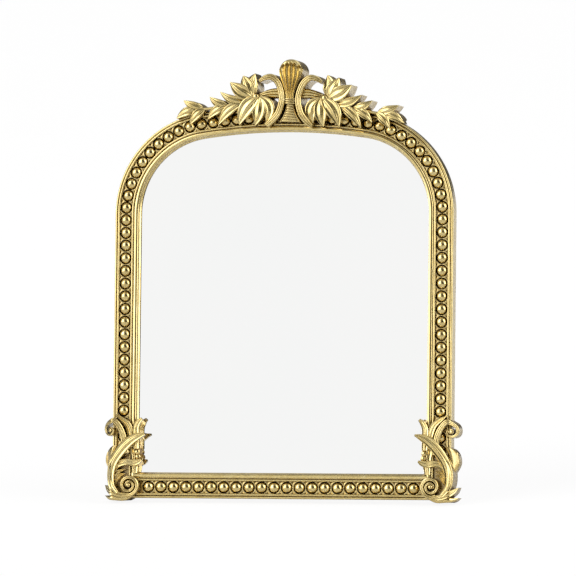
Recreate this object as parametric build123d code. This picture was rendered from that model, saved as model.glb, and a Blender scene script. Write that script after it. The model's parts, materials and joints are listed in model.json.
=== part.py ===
from build123d import *
import os
from math import asin, atan2, cos, degrees, hypot, pi, radians, sin

# Standing table mirror: an arched gilt moulding with a beaded channel, a leaf crest with a shell
# finial, scrolled corner castings that serve as feet, and an easel strut behind.
# Every piece is drawn flat: X to the right, Y up the frame, Z forward from the frame's back face.
# The placement at the end tips the mirror up and leans it back on its feet and its strut.

# Overall frame
frame_half_width = 150.0
frame_bottom = 2.6
shoulder_radius = 88.0
crown_radius = 509.0
spring_height = 248.5
lean_angle = 10.0
foot_flat = 0.5

# Moulding, measured inward from the outer edge and forward from the back face
band_width = 22.2
rim_height = 12.9
rim_width = 2.1
rim_groove_drop = 0.9
fillet_width = 1.9
outer_fillet_height = 14.0
channel_start = 4.3
channel_width = 10.6
channel_floor = 9.4
inner_fillet_height = 14.4
inner_groove_width = 0.5
inner_groove_drop = 1.3
sight_round_width = 3.6
sight_round_height = 15.0
sight_edge_height = 9.4
round_drop = 0.9

# Glass and back
rebate_width = 5.0
ledge_height = 8.0
rebate_clearance = 0.6
glass_thickness = 3.0
liner_thickness = 1.2
board_thickness = 3.6

# Beads
bead_radius = 4.6
bead_sides = 8
bead_shoulder_radius = 4.0
bead_waist_height = 2.6
bead_top_radius = 2.1
bead_height = 4.9
strip_thickness = 1.0
strip_clearance = 0.2
stile_bead_count = 19
stile_bead_pitch = 11.0
arch_bead_count = 35
rail_bead_count = 22
rail_bead_pitch = 11.2

# Crest, set out from its own centre line and from the top of the arch
crest_offset = 7.0
crest_turn = -1.6
crest_front = 25.0
glue_gap = 0.1
glass_gap = 0.4
leaf_valley = 3.0
leaf_stations = 4
fan_leaf_width = 10.0
laurel_leaf_width = 6.0
stem_width = 3.0
scroll_width = 5.0
stalk_width = 3.2
shell_top = 39.8
shell_half_width = 10.6
waist_half_width = 3.6
collar_top = 6.2
collar_height = 5.0
base_half_width = 10.0
base_bottom = -14.2
shell_stations = 5
shell_low_angle = -24.0
flute_radius = 2.2
flute_spread = 11.0
ring_proud = 0.6

# Corner castings, set out from the frame's centre line and its lowest point
corner_front = 20.0
corner_slope_start = 149.0
corner_edge_height = 11.0
scroll_band_width = 4.8
sweep_leaf_width = 7.0
upper_eye = (150.0, 61.2)
upper_eye_radius = 5.6
lower_eye = (136.6, 12.4)
lower_eye_radius = 10.6
corner_edge = 157.2
volute_turns = 1.25
volute_steps = 8
volute_band = 0.4
volute_shrink = 0.3
volute_taper = 0.45
volute_eye = 0.3

# Strut, hinge and stay
hinge_height = 214.0
strut_angle = 20.0
strut_top_width = 42.0
strut_foot_width = 74.0
strut_thickness = 4.0
strut_top_gap = 3.0
strut_overlength = 1.2
hinge_width = 36.0
leaf_length = 26.0
leaf_thickness = 1.0
knuckle_count = 3
knuckle_radius = 1.8
knuckle_gap = 0.3
pin_radius = 0.9
pin_clearance = 0.05
axis_setback = 2.0
rivet_radius = 1.5
rivet_clearance = 0.05
rivet_depth = 3.0
rivet_head_radius = 2.9
rivet_head_height = 0.7
head_sides = 12
rivet_spacing = 22.0
rivet_setback = 15.0
stay_width = 12.0
stay_thickness = 0.6
stay_tab = 14.0
stay_board_height = 62.0
stay_reach = 156.0

# Turn buttons
button_length = 19.0
button_width = 9.0
button_thickness = 0.8
button_gap = 0.25
button_screw_inset = 12.0
button_screw_radius = 1.5
button_screw_clearance = 0.08
button_screw_head_radius = 3.0
button_screw_head_height = 1.4
button_screw_depth = 5.0
button_stile_height = 140.0
button_rail_offset = 78.0
button_shoulder_angle = 48.0

crown_swing = asin((frame_half_width - shoulder_radius) / (crown_radius - shoulder_radius))
shoulder_centre_x = frame_half_width - shoulder_radius
crown_centre_y = spring_height - (crown_radius - shoulder_radius) * cos(crown_swing)
crown_top = crown_centre_y + crown_radius
channel_end = channel_start + channel_width
bead_inset = channel_start + channel_width / 2
moulding_front = max(outer_fillet_height, inner_fillet_height, sight_round_height)
bead_front = channel_floor + strip_thickness + bead_height
frame_front = max(moulding_front, bead_front)
board_back = ledge_height - glass_thickness - liner_thickness - board_thickness
hinge_depth = board_back - axis_setback
rebate_inset = band_width - rebate_width
glass_inset = rebate_inset + rebate_clearance


def on_shoulder(inset, angle):
    """Point on the right shoulder arc, angle in radians up from the stile."""
    radius = shoulder_radius - inset
    return (shoulder_centre_x + radius * cos(angle), spring_height + radius * sin(angle))


def on_crown(inset, swing):
    """Point on the crown arc, swing in radians to the right of the centre line."""
    radius = crown_radius - inset
    return (radius * sin(swing), crown_centre_y + radius * cos(swing))


def arch_face(inset):
    """Outline of the frame moved inward by inset, as a face."""
    side = frame_half_width - inset
    low = frame_bottom + inset
    right_join = on_crown(inset, crown_swing)
    left_join = (-right_join[0], right_join[1])
    right_mid = on_shoulder(inset, (pi / 2 - crown_swing) / 2)
    left_mid = (-right_mid[0], right_mid[1])
    outline = Polyline((-side, spring_height), (-side, low), (side, low), (side, spring_height))
    outline += ThreePointArc((side, spring_height), right_mid, right_join)
    outline += ThreePointArc(right_join, on_crown(inset, 0), left_join)
    outline += ThreePointArc(left_join, left_mid, (-side, spring_height))
    return make_face(outline)


def arch_slab(inset, low, high):
    """Arch-shaped plate of the outline at inset, from depth low to depth high."""
    return extrude(Pos(0, 0, low) * arch_face(inset), high - low)


def plate(points, low, high):
    """Straight-sided plate through points, from depth low to depth high."""
    return extrude(Pos(0, 0, low) * make_face(Polyline(*points, close=True)), high - low)


def both_sides(shape):
    """The same piece on the right and mirrored to the left."""
    return shape, mirror(shape, about=Plane.YZ)


# Moulding


def moulding_face():
    """Cross-section of the moulding: local X runs inward from the outer edge, local Y forward.
    Each small round is drawn as a flat crown between two slopes."""
    rim_start = rim_height - round_drop
    groove = rim_height - rim_groove_drop
    fillet_start = channel_start - fillet_width
    inner_end = channel_end + fillet_width
    inner_groove = inner_fillet_height - inner_groove_drop
    sight_start = inner_end + inner_groove_width
    sight_end = sight_start + sight_round_width
    third = 1 / 3
    points = [
        (0, 0),
        (0, rim_start),
        (rim_width * third, rim_height),
        (rim_width * 2 * third, rim_height),
        (rim_width, groove),
        (fillet_start, groove),
        (fillet_start + fillet_width * third, outer_fillet_height),
        (channel_start - fillet_width * third, outer_fillet_height),
        (channel_start, outer_fillet_height - round_drop),
        (channel_start, channel_floor),
        (channel_end, channel_floor),
        (channel_end, inner_fillet_height - round_drop),
        (channel_end + fillet_width * third, inner_fillet_height),
        (inner_end - fillet_width * third, inner_fillet_height),
        (inner_end, inner_groove),
        (sight_start, inner_groove),
        (sight_start + sight_round_width * third, sight_round_height),
        (sight_end - sight_round_width * third, sight_round_height),
        (sight_end, sight_round_height - round_drop),
        (band_width, sight_edge_height),
        (band_width, ledge_height),
        (rebate_inset, ledge_height),
        (rebate_inset, 0),
    ]
    return make_face(Polyline(*points, close=True))


def rail_plane():
    """Section plane at the left end of the bottom rail, looking to the right."""
    return Plane(origin=(-frame_half_width, frame_bottom, 0), x_dir=(0, 1, 0), z_dir=(1, 0, 0))


def stile_plane(height):
    """Section plane across the right stile at height, looking up."""
    return Plane(origin=(frame_half_width, height, 0), x_dir=(-1, 0, 0), z_dir=(0, 1, 0))


def crown_plane():
    """Section plane where the right shoulder meets the crown, looking along the arch."""
    inward = (-sin(crown_swing), -cos(crown_swing), 0)
    along = (-cos(crown_swing), sin(crown_swing), 0)
    return Plane(origin=(*on_crown(0, crown_swing), 0), x_dir=inward, z_dir=along)


def carry_round_arch(section):
    """A moulding section carried from stile to stile, over both shoulders and the crown."""
    shoulder_axis = Axis((shoulder_centre_x, spring_height, 0), (0, 0, 1))
    crown_axis = Axis((0, crown_centre_y, 0), (0, 0, 1))
    shoulder_arc = 90 - degrees(crown_swing)
    shoulders = both_sides(revolve(stile_plane(spring_height) * section, shoulder_axis, shoulder_arc))
    crown = revolve(crown_plane() * section, crown_axis, 2 * degrees(crown_swing))
    return crown.fuse(*shoulders)


def mitre_plate(high):
    """The part of the plane that belongs to the bottom rail, bounded by the two mitres."""
    corner = (frame_half_width + band_width, frame_bottom - band_width)
    inner = (frame_half_width - 2 * band_width, frame_bottom + 2 * band_width)
    points = [corner, inner, (-inner[0], inner[1]), (-corner[0], corner[1])]
    return plate(points, -1, high + 1)


def stile_length(section):
    """Straight moulding along the right stile, mitred at its foot."""
    stile = extrude(stile_plane(frame_bottom) * section, spring_height - frame_bottom)
    return stile - mitre_plate(moulding_front)


def rail_length(section):
    """Straight moulding along the bottom, mitred at both ends."""
    rail = extrude(rail_plane() * section, 2 * frame_half_width)
    return rail & mitre_plate(moulding_front)


# Beading


def strip_face():
    """Flat strip that lies in the channel and carries the beads."""
    low = channel_floor
    high = channel_floor + strip_thickness
    left = channel_start + strip_clearance
    right = channel_end - strip_clearance
    return make_face(Polyline((left, low), (right, low), (right, high), (left, high), close=True))


def bead():
    """One bead: a broad faceted waist under a steeper crown, both tapering to the front."""
    waist = RegularPolygon(bead_radius, bead_sides)
    crown = Pos(0, 0, bead_waist_height) * RegularPolygon(bead_shoulder_radius, bead_sides)
    flat = cos(pi / bead_sides)
    waist_taper = atan2((bead_radius - bead_shoulder_radius) * flat, bead_waist_height)
    crown_rise = bead_height - bead_waist_height
    crown_taper = atan2((bead_shoulder_radius - bead_top_radius) * flat, crown_rise)
    lower = extrude(waist, bead_waist_height, taper=degrees(waist_taper))
    return lower + extrude(crown, crown_rise, taper=degrees(crown_taper))


def bead_at(point, angle):
    """A bead on the strip at point, turned to face along the channel."""
    return Pos(*point, channel_floor + strip_thickness) * Rot(0, 0, angle) * bead()


def stile_beading():
    """Strip and beads of the right stile, the first bead half a pitch under the arch."""
    side = frame_half_width - bead_inset
    beads = []
    for number in range(stile_bead_count):
        height = spring_height - (number + 0.5) * stile_bead_pitch
        beads.append(bead_at((side, height), 0))
    strip = stile_length(strip_face())
    return strip.fuse(*beads)


def rail_beading():
    """Strip and beads of the bottom rail, centred between the corners."""
    beads = []
    for number in range(rail_bead_count):
        across = (number - (rail_bead_count - 1) / 2) * rail_bead_pitch
        beads.append(bead_at((across, frame_bottom + bead_inset), 0))
    strip = rail_length(strip_face())
    return strip.fuse(*beads)


def arch_bead_place(distance):
    """Point and heading at a distance along the bead line, from the right spring point."""
    shoulder = shoulder_radius - bead_inset
    crown = crown_radius - bead_inset
    shoulder_run = shoulder * (pi / 2 - crown_swing)
    crown_run = crown * 2 * crown_swing
    if distance < shoulder_run:
        angle = distance / shoulder
        return on_shoulder(bead_inset, angle), degrees(angle)
    if distance < shoulder_run + crown_run:
        swing = crown_swing - (distance - shoulder_run) / crown
        return on_crown(bead_inset, swing), 90 - degrees(swing)
    angle = (2 * shoulder_run + crown_run - distance) / shoulder
    point = on_shoulder(bead_inset, angle)
    return (-point[0], point[1]), 180 - degrees(angle)


def arch_beading():
    """Strip and beads over the arch, evenly spaced from spring point to spring point."""
    shoulder_run = (shoulder_radius - bead_inset) * (pi / 2 - crown_swing)
    crown_run = (crown_radius - bead_inset) * 2 * crown_swing
    pitch = (2 * shoulder_run + crown_run) / arch_bead_count
    beads = []
    for number in range(arch_bead_count):
        point, angle = arch_bead_place((number + 0.5) * pitch)
        beads.append(bead_at(point, angle))
    return carry_round_arch(strip_face()).fuse(*beads)


# Carved leaves and scrolls


def leaf(base, tip, width, front):
    """Pointed leaf with a midrib: its half width follows a half sine from base to tip, under a
    roof that falls from the midrib to both edges."""
    run = (tip[0] - base[0], tip[1] - base[1])
    length = hypot(*run)
    along = (run[0] / length, run[1] / length)
    edge = []
    for number in range(1, leaf_stations):
        share = number / leaf_stations
        edge.append((length * share, width / 2 * sin(pi * share)))
    outline = [(0, 0), *edge, (length, 0), *[(x, -y) for x, y in reversed(edge)]]
    flat = Plane(origin=(*base, 0), x_dir=(*along, 0), z_dir=(0, 0, 1))
    blade = extrude(flat * make_face(Polyline(*outline, close=True)), front)
    section = Plane(origin=(*base, 0), x_dir=(-along[1], along[0], 0), z_dir=(*along, 0))
    eave = front - 2 * leaf_valley
    roof = [(-width, 0), (width, 0), (width, eave), (0, front), (-width, eave)]
    return blade & extrude(section * make_face(Polyline(*roof, close=True)), length)


def ribbon(path, widths, front):
    """Flowing band along a curve through path, as wide at each point as widths says.
    A width of zero makes a pointed end."""
    curve = Spline(*path)
    left = []
    right = []
    steps = 2 * (len(widths) - 1)
    for step in range(steps + 1):
        number = step // 2
        width = widths[number]
        if step % 2:
            width = (width + widths[number + 1]) / 2
        here = curve @ (step / steps)
        heading = curve % (step / steps)
        left.append((here.X - heading.Y * width / 2, here.Y + heading.X * width / 2))
        right.append((here.X + heading.Y * width / 2, here.Y - heading.X * width / 2))
    if widths[0] == 0:
        right = right[1:]
    if widths[-1] == 0:
        right = right[:-1]
    return plate(left + right[::-1], 0, front)


def volute(centre, radius, start, sense, front):
    """Spiral band that winds in from radius at angle start, with a round button at its eye."""
    width = radius * volute_band
    path = []
    for step in range(volute_steps + 1):
        share = step / volute_steps
        angle = radians(start + sense * 360 * volute_turns * share)
        reach = (radius - width / 2) * (1 - (1 - volute_shrink) * share)
        path.append((centre[0] + reach * cos(angle), centre[1] + reach * sin(angle)))
    widths = [width * (1 - volute_taper * step / volute_steps) for step in range(volute_steps + 1)]
    eye = Pos(*centre, 0) * extrude(RegularPolygon(radius * volute_eye, bead_sides), front)
    return ribbon(path, widths, front) + eye


def frame_envelope():
    """Space taken by the moulding and the glass, with the glue and glass clearances."""
    behind = arch_slab(-glue_gap, -1, ledge_height + glass_gap)
    over = arch_slab(-glue_gap, ledge_height, frame_front + glue_gap)
    return behind + (over - arch_slab(band_width + glue_gap, ledge_height, frame_front + 1))


def seat_on_frame(shape):
    """Ornament with the frame's own space taken out of its back."""
    return shape - frame_envelope()


def crest_place(shape):
    """Crest piece moved from its own centre line to its place on the arch."""
    return Pos(crest_offset, crown_top, 0) * Rot(0, 0, crest_turn) * shape


def fan_leaves():
    """Right-hand leaf fan: three leaves up and three down from one knot."""
    upper = (33.5, 7.6)
    lower = (27.5, 6.0)
    fan = leaf(upper, (53.2, 18.6), fan_leaf_width, crest_front)
    fan += leaf(upper, (42.2, 24.4), fan_leaf_width, crest_front - 1)
    fan += leaf(upper, (32.5, 26.4), fan_leaf_width * 0.9, crest_front - 2)
    fan += leaf(lower, (43.8, -17.3), fan_leaf_width * 1.1, crest_front)
    fan += leaf(lower, (30.6, -17.5), fan_leaf_width, crest_front - 1)
    fan += leaf(lower, (21.6, -15.2), fan_leaf_width, crest_front - 2)
    knot = Pos(30.5, 7.0, 0) * extrude(Circle(laurel_leaf_width / 2), crest_front - 3)
    return fan + knot


def laurel_spray():
    """Right-hand laurel spray: a curved stem with leaves in pairs and a leaf at its end."""
    stem = ribbon(
        [(35.5, 4.4), (46.0, 1.6), (58.0, -1.8), (70.0, -3.8), (82.0, -5.2)],
        [stem_width, stem_width, stem_width * 0.9, stem_width * 0.8, stem_width * 0.6],
        crest_front - 4,
    )
    leaves = [
        ((38.8, 3.4), (62.6, 10.2)),
        ((55.4, -1.2), (71.8, 5.7)),
        ((77.8, -4.4), (94.9, 2.1)),
        ((81.0, -5.2), (100.5, -13.1)),
        ((76.5, -4.6), (88.4, -17.7)),
        ((56.0, -1.4), (72.5, -12.9)),
        ((43.6, 1.8), (62.9, -17.7)),
    ]
    spray = stem
    for number, (base, tip) in enumerate(leaves):
        spray += leaf(base, tip, laurel_leaf_width, crest_front - 2 - 0.5 * (number % 2))
    return spray


def crest_scroll():
    """Right-hand C-scroll beside the shell, with the three-lobed stalk behind it."""
    path = [(26.3, 22.0), (17.6, 24.4), (10.6, 18.0), (6.9, 5.0), (11.0, -8.0), (19.2, -16.6)]
    widths = [0, scroll_width, scroll_width, scroll_width, scroll_width, scroll_width * 0.6]
    scroll = ribbon(path, widths, crest_front - 1)
    for number in range(3):
        height = 7.0 + number * 2.6
        stalk = ribbon(
            [(8.5, height + 0.6), (18.0, height + 0.2), (26.5, height)],
            [stalk_width, stalk_width, stalk_width],
            crest_front - 6 - abs(number - 1),
        )
        scroll += stalk
    return scroll


def shell_finial():
    """Fluted shell on a ringed collar and a flaring foot."""
    centre = shell_top - shell_half_width
    low_angle = radians(shell_low_angle)
    head_foot = centre + shell_half_width * sin(low_angle)
    flare = shell_half_width * cos(low_angle) - waist_half_width
    side = []
    for number in range(shell_stations):
        share = number / shell_stations
        side.append((waist_half_width + flare * share**2, collar_top + (head_foot - collar_top) * share))
    for number in range(shell_stations):
        angle = low_angle + (pi / 2 - low_angle) * number / shell_stations
        side.append((shell_half_width * cos(angle), centre + shell_half_width * sin(angle)))
    outline = [*side, (0, shell_top), *[(-x, y) for x, y in reversed(side)]]
    shell = plate(outline, 0, crest_front)
    for swing in (-1.5, -0.5, 0.5, 1.5):
        rod = extrude(RegularPolygon(flute_radius, 4), shell_top)
        groove = Pos(0, collar_top, crest_front + flute_radius / 2) * Rot(-90, 0, 0) * rod
        turn = Pos(0, collar_top, 0) * Rot(0, 0, swing * flute_spread) * Pos(0, -collar_top, 0)
        shell -= turn * groove
    ring_step = collar_height / 3
    for number in range(3):
        proud = ring_proud * (number % 2)
        half = waist_half_width + proud
        high = collar_top - number * ring_step
        corners = [(-half, high - ring_step), (half, high - ring_step), (half, high), (-half, high)]
        shell += plate(corners, 0, crest_front - 1.5 + proud)
    foot_top = collar_top - collar_height
    middle = (waist_half_width + 1.6, foot_top - 8)
    right_side = [(waist_half_width, foot_top), middle, (base_half_width, base_bottom)]
    foot = right_side + [(-x, y) for x, y in reversed(right_side)]
    return shell + plate(foot, 0, crest_front - 3)


def outer_slope(front):
    """Space over the outer side of a corner casting, which falls away from its front face."""
    high = front + 1
    low = corner_edge_height
    section = [(corner_slope_start, front), (corner_slope_start, high), (2 * corner_edge, high)]
    section += [(2 * corner_edge, low), (corner_edge, low)]
    return extrude(Plane.XZ * make_face(Polyline(*section, close=True)), frame_half_width, both=True)


def corner_casting():
    """Right-hand corner casting: two volutes joined by a long S-leaf, with leaf tips as the foot."""
    front = corner_front
    casting = ribbon(
        [
            (122.8, 54.6),
            (133.5, 50.5),
            (142.4, 43.4),
            (150.0, 32.6),
            (152.2, 22.8),
            (149.2, 12.0),
            (141.0, 4.6),
        ],
        [0, sweep_leaf_width, sweep_leaf_width, sweep_leaf_width * 0.9, 6.0, 6.0, 4.0],
        front,
    )
    casting += volute(lower_eye, lower_eye_radius, -40, -1, front - 0.6)
    casting += volute(upper_eye, upper_eye_radius, 70, -1, front - 1.6)
    casting += ribbon(
        [(150.2, 65.2), (144.6, 65.0), (139.6, 56.5), (138.6, 47.0)],
        [scroll_band_width, scroll_band_width, scroll_band_width, scroll_band_width],
        front - 1.4,
    )
    casting += ribbon(
        [(147.6, 74.4), (139.0, 69.0), (133.2, 62.0), (131.6, 50.0)],
        [0, scroll_band_width, scroll_band_width, scroll_band_width],
        front - 2.2,
    )
    casting += ribbon(
        [(124.6, 69.4), (128.6, 66.6), (128.8, 58.0), (128.0, 47.0), (127.6, 34.0), (128.2, 22.0)],
        [0, 5.0, 5.6, 6.0, 6.4, 4.0],
        front - 3.0,
    )
    for tip in ((121.6, 43.6), (120.8, 38.6), (118.4, 35.0)):
        casting += leaf((132.0, tip[1] + 1.0), tip, scroll_band_width, front - 1.8)
    casting += ribbon(
        [(149.8, 22.0), (146.6, 30.6), (140.0, 33.4), (132.0, 33.0), (126.0, 36.0)],
        [3.0, scroll_band_width, scroll_band_width, scroll_band_width, 2.0],
        front - 1.0,
    )
    casting += ribbon(
        [(147.8, 47.0), (154.4, 40.4), (156.0, 33.0), (152.6, 26.0)],
        [0, 6.0, 6.0, 3.0],
        front - 3.6,
    )
    casting += ribbon([(151.0, 18.0), (144.0, 24.8), (136.0, 27.0)], [3.0, 4.0, 1.0], front - 2.6)
    casting += ribbon([(corner_edge, 13.2), (150.0, 6.6), (139.0, 3.6)], [0, 5.0, 4.0], front - 1.4)
    casting += ribbon([(corner_edge, 4.2), (145.0, 2.4), (130.0, 5.0)], [0, 4.8, 2.0], front - 2.0)
    return casting - outer_slope(front)


# Back, buttons and strut


def glass_pane():
    return arch_slab(glass_inset, ledge_height - glass_thickness, ledge_height)


def liner_sheet():
    return arch_slab(glass_inset, board_back + board_thickness, ledge_height - glass_thickness)


def backing_board():
    board = arch_slab(glass_inset, board_back, board_back + board_thickness)
    for across in (-rivet_spacing / 2, rivet_spacing / 2):
        board -= rivet_hole(across, hinge_height + rivet_setback, board_back)
    return board - rivet_hole(0, stay_board_height + stay_tab / 2, board_back)


def shank(radius, low, high):
    """Six-sided shank or the hole for one, along Z."""
    return Pos(0, 0, low) * extrude(RegularPolygon(radius, 6), high - low)


def round_head(radius, low, high):
    """Head of a rivet or screw, along Z."""
    return Pos(0, 0, low) * extrude(RegularPolygon(radius, head_sides), high - low)


def rivet_hole(across, height, surface):
    """Blind hole for a rivet, going forward from the depth surface."""
    return Pos(across, height, surface) * shank(rivet_radius + rivet_clearance, -1, rivet_depth)


def rivet(across, height, surface, grip):
    """Rivet whose head sits grip behind the depth surface and whose shank goes forward into it."""
    body = shank(rivet_radius, 0, rivet_depth + grip - rivet_clearance)
    body += round_head(rivet_head_radius, -rivet_head_height, 0)
    return Pos(across, height, surface - grip) * body


def button_places():
    """Screw point and inward heading in degrees of each turn button."""
    inset = button_screw_inset
    side = frame_half_width - inset
    shoulder = on_shoulder(inset, radians(button_shoulder_angle))
    return {
        "right_stile": ((side, button_stile_height), 180),
        "left_stile": ((-side, button_stile_height), 0),
        "right_shoulder": (shoulder, 180 + button_shoulder_angle),
        "left_shoulder": ((-shoulder[0], shoulder[1]), -button_shoulder_angle),
        "right_rail": ((button_rail_offset, frame_bottom + inset), 90),
        "left_rail": ((-button_rail_offset, frame_bottom + inset), 90),
    }


def turn_button(point, heading):
    """Stamped metal button with clipped corners that turns on its screw and laps the board."""
    half = button_width / 2
    clip = half * 0.6
    far = button_length - half
    corners = [(-half, half - clip), (clip - half, half), (far - clip, half), (far, half - clip)]
    outline = corners + [(x, -y) for x, y in reversed(corners)]
    body = plate(outline, -button_thickness, 0)
    body -= Cylinder(button_screw_radius + button_screw_clearance, 3 * button_thickness)
    return Pos(*point, -button_gap) * Rot(0, 0, heading) * body


def button_screw(point):
    """Pan-head screw that holds a turn button to the back of the moulding."""
    seat = 2 * button_gap + button_thickness
    body = shank(button_screw_radius, 0, seat + button_screw_depth)
    body += round_head(button_screw_head_radius, -button_screw_head_height, 0)
    return Pos(*point, -seat) * body


def screw_holes():
    """Pilot holes in the moulding for the button screws."""
    depth = button_screw_depth + rivet_clearance
    hole = shank(button_screw_radius + rivet_clearance, -1, depth)
    return [Pos(*point, 0) * hole for point, _ in button_places().values()]


def hinge_leaf(side):
    """Hinge leaf drawn about its own axis. Side 1 goes up and lies forward on the board;
    side -1 goes down and lies back on the strut."""
    knuckle_width = hinge_width / knuckle_count
    clear = knuckle_radius + knuckle_gap
    middle = side * (axis_setback - leaf_thickness / 2)
    flat = Box(hinge_width, leaf_length - clear, leaf_thickness)
    body = Pos(0, side * (clear + leaf_length) / 2, middle) * flat
    first = 0 if side > 0 else 1
    for number in range(first, knuckle_count, 2):
        across = (number - (knuckle_count - 1) / 2) * knuckle_width
        width = knuckle_width - knuckle_gap
        body += Pos(across, side * clear / 2, middle) * Box(width, clear, leaf_thickness)
        body += Pos(across, 0, 0) * Rot(0, 90, 0) * Cylinder(knuckle_radius, width)
    body -= Rot(0, 90, 0) * Cylinder(pin_radius + pin_clearance, hinge_width + 1)
    for across in (-rivet_spacing / 2, rivet_spacing / 2):
        hole = shank(rivet_radius + rivet_clearance, -2 * leaf_thickness, 2 * leaf_thickness)
        body -= Pos(across, side * rivet_setback, side * axis_setback) * hole
    return body


def at_hinge(shape):
    """Piece drawn about the hinge axis, moved to its place on the board."""
    return Pos(0, hinge_height, hinge_depth) * shape


def swing_out(shape):
    """Piece of the strut, drawn folded flat about the hinge axis, swung out to its stop."""
    return at_hinge(Rot(strut_angle, 0, 0) * shape)


def hinge_pin():
    return at_hinge(Rot(0, 90, 0) * Cylinder(pin_radius, hinge_width + 2 * knuckle_gap))


def strut_board():
    """Tapered easel strut, drawn folded: its front face lies behind the hinge axis."""
    reach = hinge_height / cos(radians(strut_angle)) * strut_overlength
    top = strut_top_width / 2
    foot = top + (strut_foot_width / 2 - top) * reach / hinge_height
    front = -axis_setback
    outline = [(-top, -strut_top_gap), (-foot, -reach), (foot, -reach), (top, -strut_top_gap)]
    board = plate(outline, front - strut_thickness, front)
    hole = shank(rivet_radius + rivet_clearance, -rivet_depth, 1)
    for across in (-rivet_spacing / 2, rivet_spacing / 2):
        board -= Pos(across, -rivet_setback, front) * hole
    return board - Pos(0, -stay_reach + stay_tab / 2, front) * hole


def strut_rivet(across, along, grip):
    """Rivet of the strut, drawn folded, its head grip in front of the strut's front face."""
    turned = Rot(0, 180, 0) * rivet(-across, along, 0, grip)
    return Pos(0, 0, -axis_setback) * turned


def stay_ribbon():
    """Cloth stay, taut: a tab on the board, a straight span, and a tab on the strut."""
    swing = radians(strut_angle)
    front = -axis_setback
    along = (-cos(swing), -sin(swing))
    outward = (-sin(swing), cos(swing))
    t = stay_thickness

    def on_strut(reach, off):
        depth = front + off
        return (
            hinge_height + reach * along[0] + depth * outward[0],
            hinge_depth + reach * along[1] + depth * outward[1],
        )

    board_z = board_back
    low = stay_board_height
    profile = [
        (low + stay_tab, board_z),
        (low + stay_tab, board_z - t),
        (low + t, board_z - t),
        on_strut(stay_reach - t, t),
        on_strut(stay_reach - stay_tab, t),
        on_strut(stay_reach - stay_tab, 0),
        on_strut(stay_reach, 0),
        (low, board_z),
    ]
    section = Plane(origin=(-stay_width / 2, 0, 0), x_dir=(0, 1, 0), z_dir=(1, 0, 0))
    ribbon_solid = extrude(section * make_face(Polyline(*profile, close=True)), stay_width)
    hole = shank(rivet_radius + rivet_clearance, -2 * stay_thickness, 2 * stay_thickness)
    ribbon_solid -= Pos(0, low + stay_tab / 2, board_z) * hole
    return ribbon_solid - swing_out(Pos(0, -stay_reach + stay_tab / 2, front) * hole)


# Assembly


def build_nodes():
    """Every piece in the flat drawing position, by name."""
    nodes = {}
    arch = carry_round_arch(moulding_face()) - screw_holes()
    stiles = both_sides(stile_length(moulding_face()))
    nodes["arch_moulding"] = arch
    nodes["right_stile_moulding"] = stiles[0] - screw_holes()
    nodes["left_stile_moulding"] = stiles[1] - screw_holes()
    nodes["bottom_rail_moulding"] = rail_length(moulding_face()) - screw_holes()
    nodes["arch_beading"] = arch_beading()
    nodes["right_stile_beading"], nodes["left_stile_beading"] = both_sides(stile_beading())
    nodes["bottom_rail_beading"] = rail_beading()

    nodes["shell_finial"] = seat_on_frame(crest_place(shell_finial()))
    crest = {"scroll": crest_scroll(), "leaf_fan": fan_leaves(), "laurel_spray": laurel_spray()}
    for name, piece in crest.items():
        right, left = both_sides(piece)
        nodes["right_crest_" + name] = seat_on_frame(crest_place(right))
        nodes["left_crest_" + name] = seat_on_frame(crest_place(left))
    right, left = both_sides(corner_casting())
    nodes["right_corner_casting"] = seat_on_frame(right)
    nodes["left_corner_casting"] = seat_on_frame(left)

    nodes["mirror_glass"] = glass_pane()
    nodes["glass_liner"] = liner_sheet()
    nodes["backing_board"] = backing_board()
    screws = []
    for name, (point, heading) in button_places().items():
        nodes["turn_button_" + name] = turn_button(point, heading)
        screws.append(button_screw(point))
    nodes["turn_button_screws"] = Compound(children=screws)

    half = rivet_spacing / 2
    nodes["hinge_board_leaf"] = at_hinge(hinge_leaf(1))
    nodes["hinge_pin"] = hinge_pin()
    height = hinge_height + rivet_setback
    board_rivets = [rivet(side, height, board_back, leaf_thickness) for side in (-half, half)]
    board_rivets.append(rivet(0, stay_board_height + stay_tab / 2, board_back, stay_thickness))
    nodes["board_rivets"] = Compound(children=board_rivets)
    nodes["stay_ribbon"] = stay_ribbon()
    nodes["hinge_strut_leaf"] = swing_out(hinge_leaf(-1))
    nodes["strut"] = swing_out(strut_board())
    strut_rivets = [swing_out(strut_rivet(side, -rivet_setback, leaf_thickness)) for side in (-half, half)]
    strut_rivets.append(swing_out(strut_rivet(0, -stay_reach + stay_tab / 2, stay_thickness)))
    nodes["strut_rivets"] = Compound(children=strut_rivets)
    return nodes


def stand_up(nodes):
    """Tips every piece up, leans it back, trims the feet level and centres the whole on the origin."""
    tilt = Rot(90 - lean_angle, 0, 0)
    standing = {name: tilt * shape for name, shape in nodes.items()}
    casting = standing["right_corner_casting"].bounding_box()
    floor = casting.min.Z + foot_flat
    wide = 4 * frame_half_width
    ground = Pos(0, 0, floor) * Box(wide, wide, wide, align=(Align.CENTER, Align.CENTER, Align.MAX))
    for name in ("right_corner_casting", "left_corner_casting", "strut"):
        standing[name] = standing[name] - ground
    whole = Compound([s for shape in standing.values() for s in shape.solids()]).bounding_box()
    shift = Pos(-(whole.min.X + whole.max.X) / 2, -(whole.min.Y + whole.max.Y) / 2, -floor)
    return {name: shift * shape for name, shape in standing.items()}, shift * tilt


def main():
    nodes, placement = stand_up(build_nodes())
    os.makedirs("parts", exist_ok=True)
    for name, shape in nodes.items():
        export_step(shape, f"parts/{name}.step")
    points = {"strut_hinge": (0, hinge_height, hinge_depth)}
    for name, (point, _) in button_places().items():
        points["turn_button_" + name] = (*point, 0)
    for name, point in points.items():
        place = (placement * Pos(*point)).position
        print(name, round(place.X, 3), round(place.Y, 3), round(place.Z, 3))
    return nodes


if __name__ == "__main__":
    main()
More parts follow.
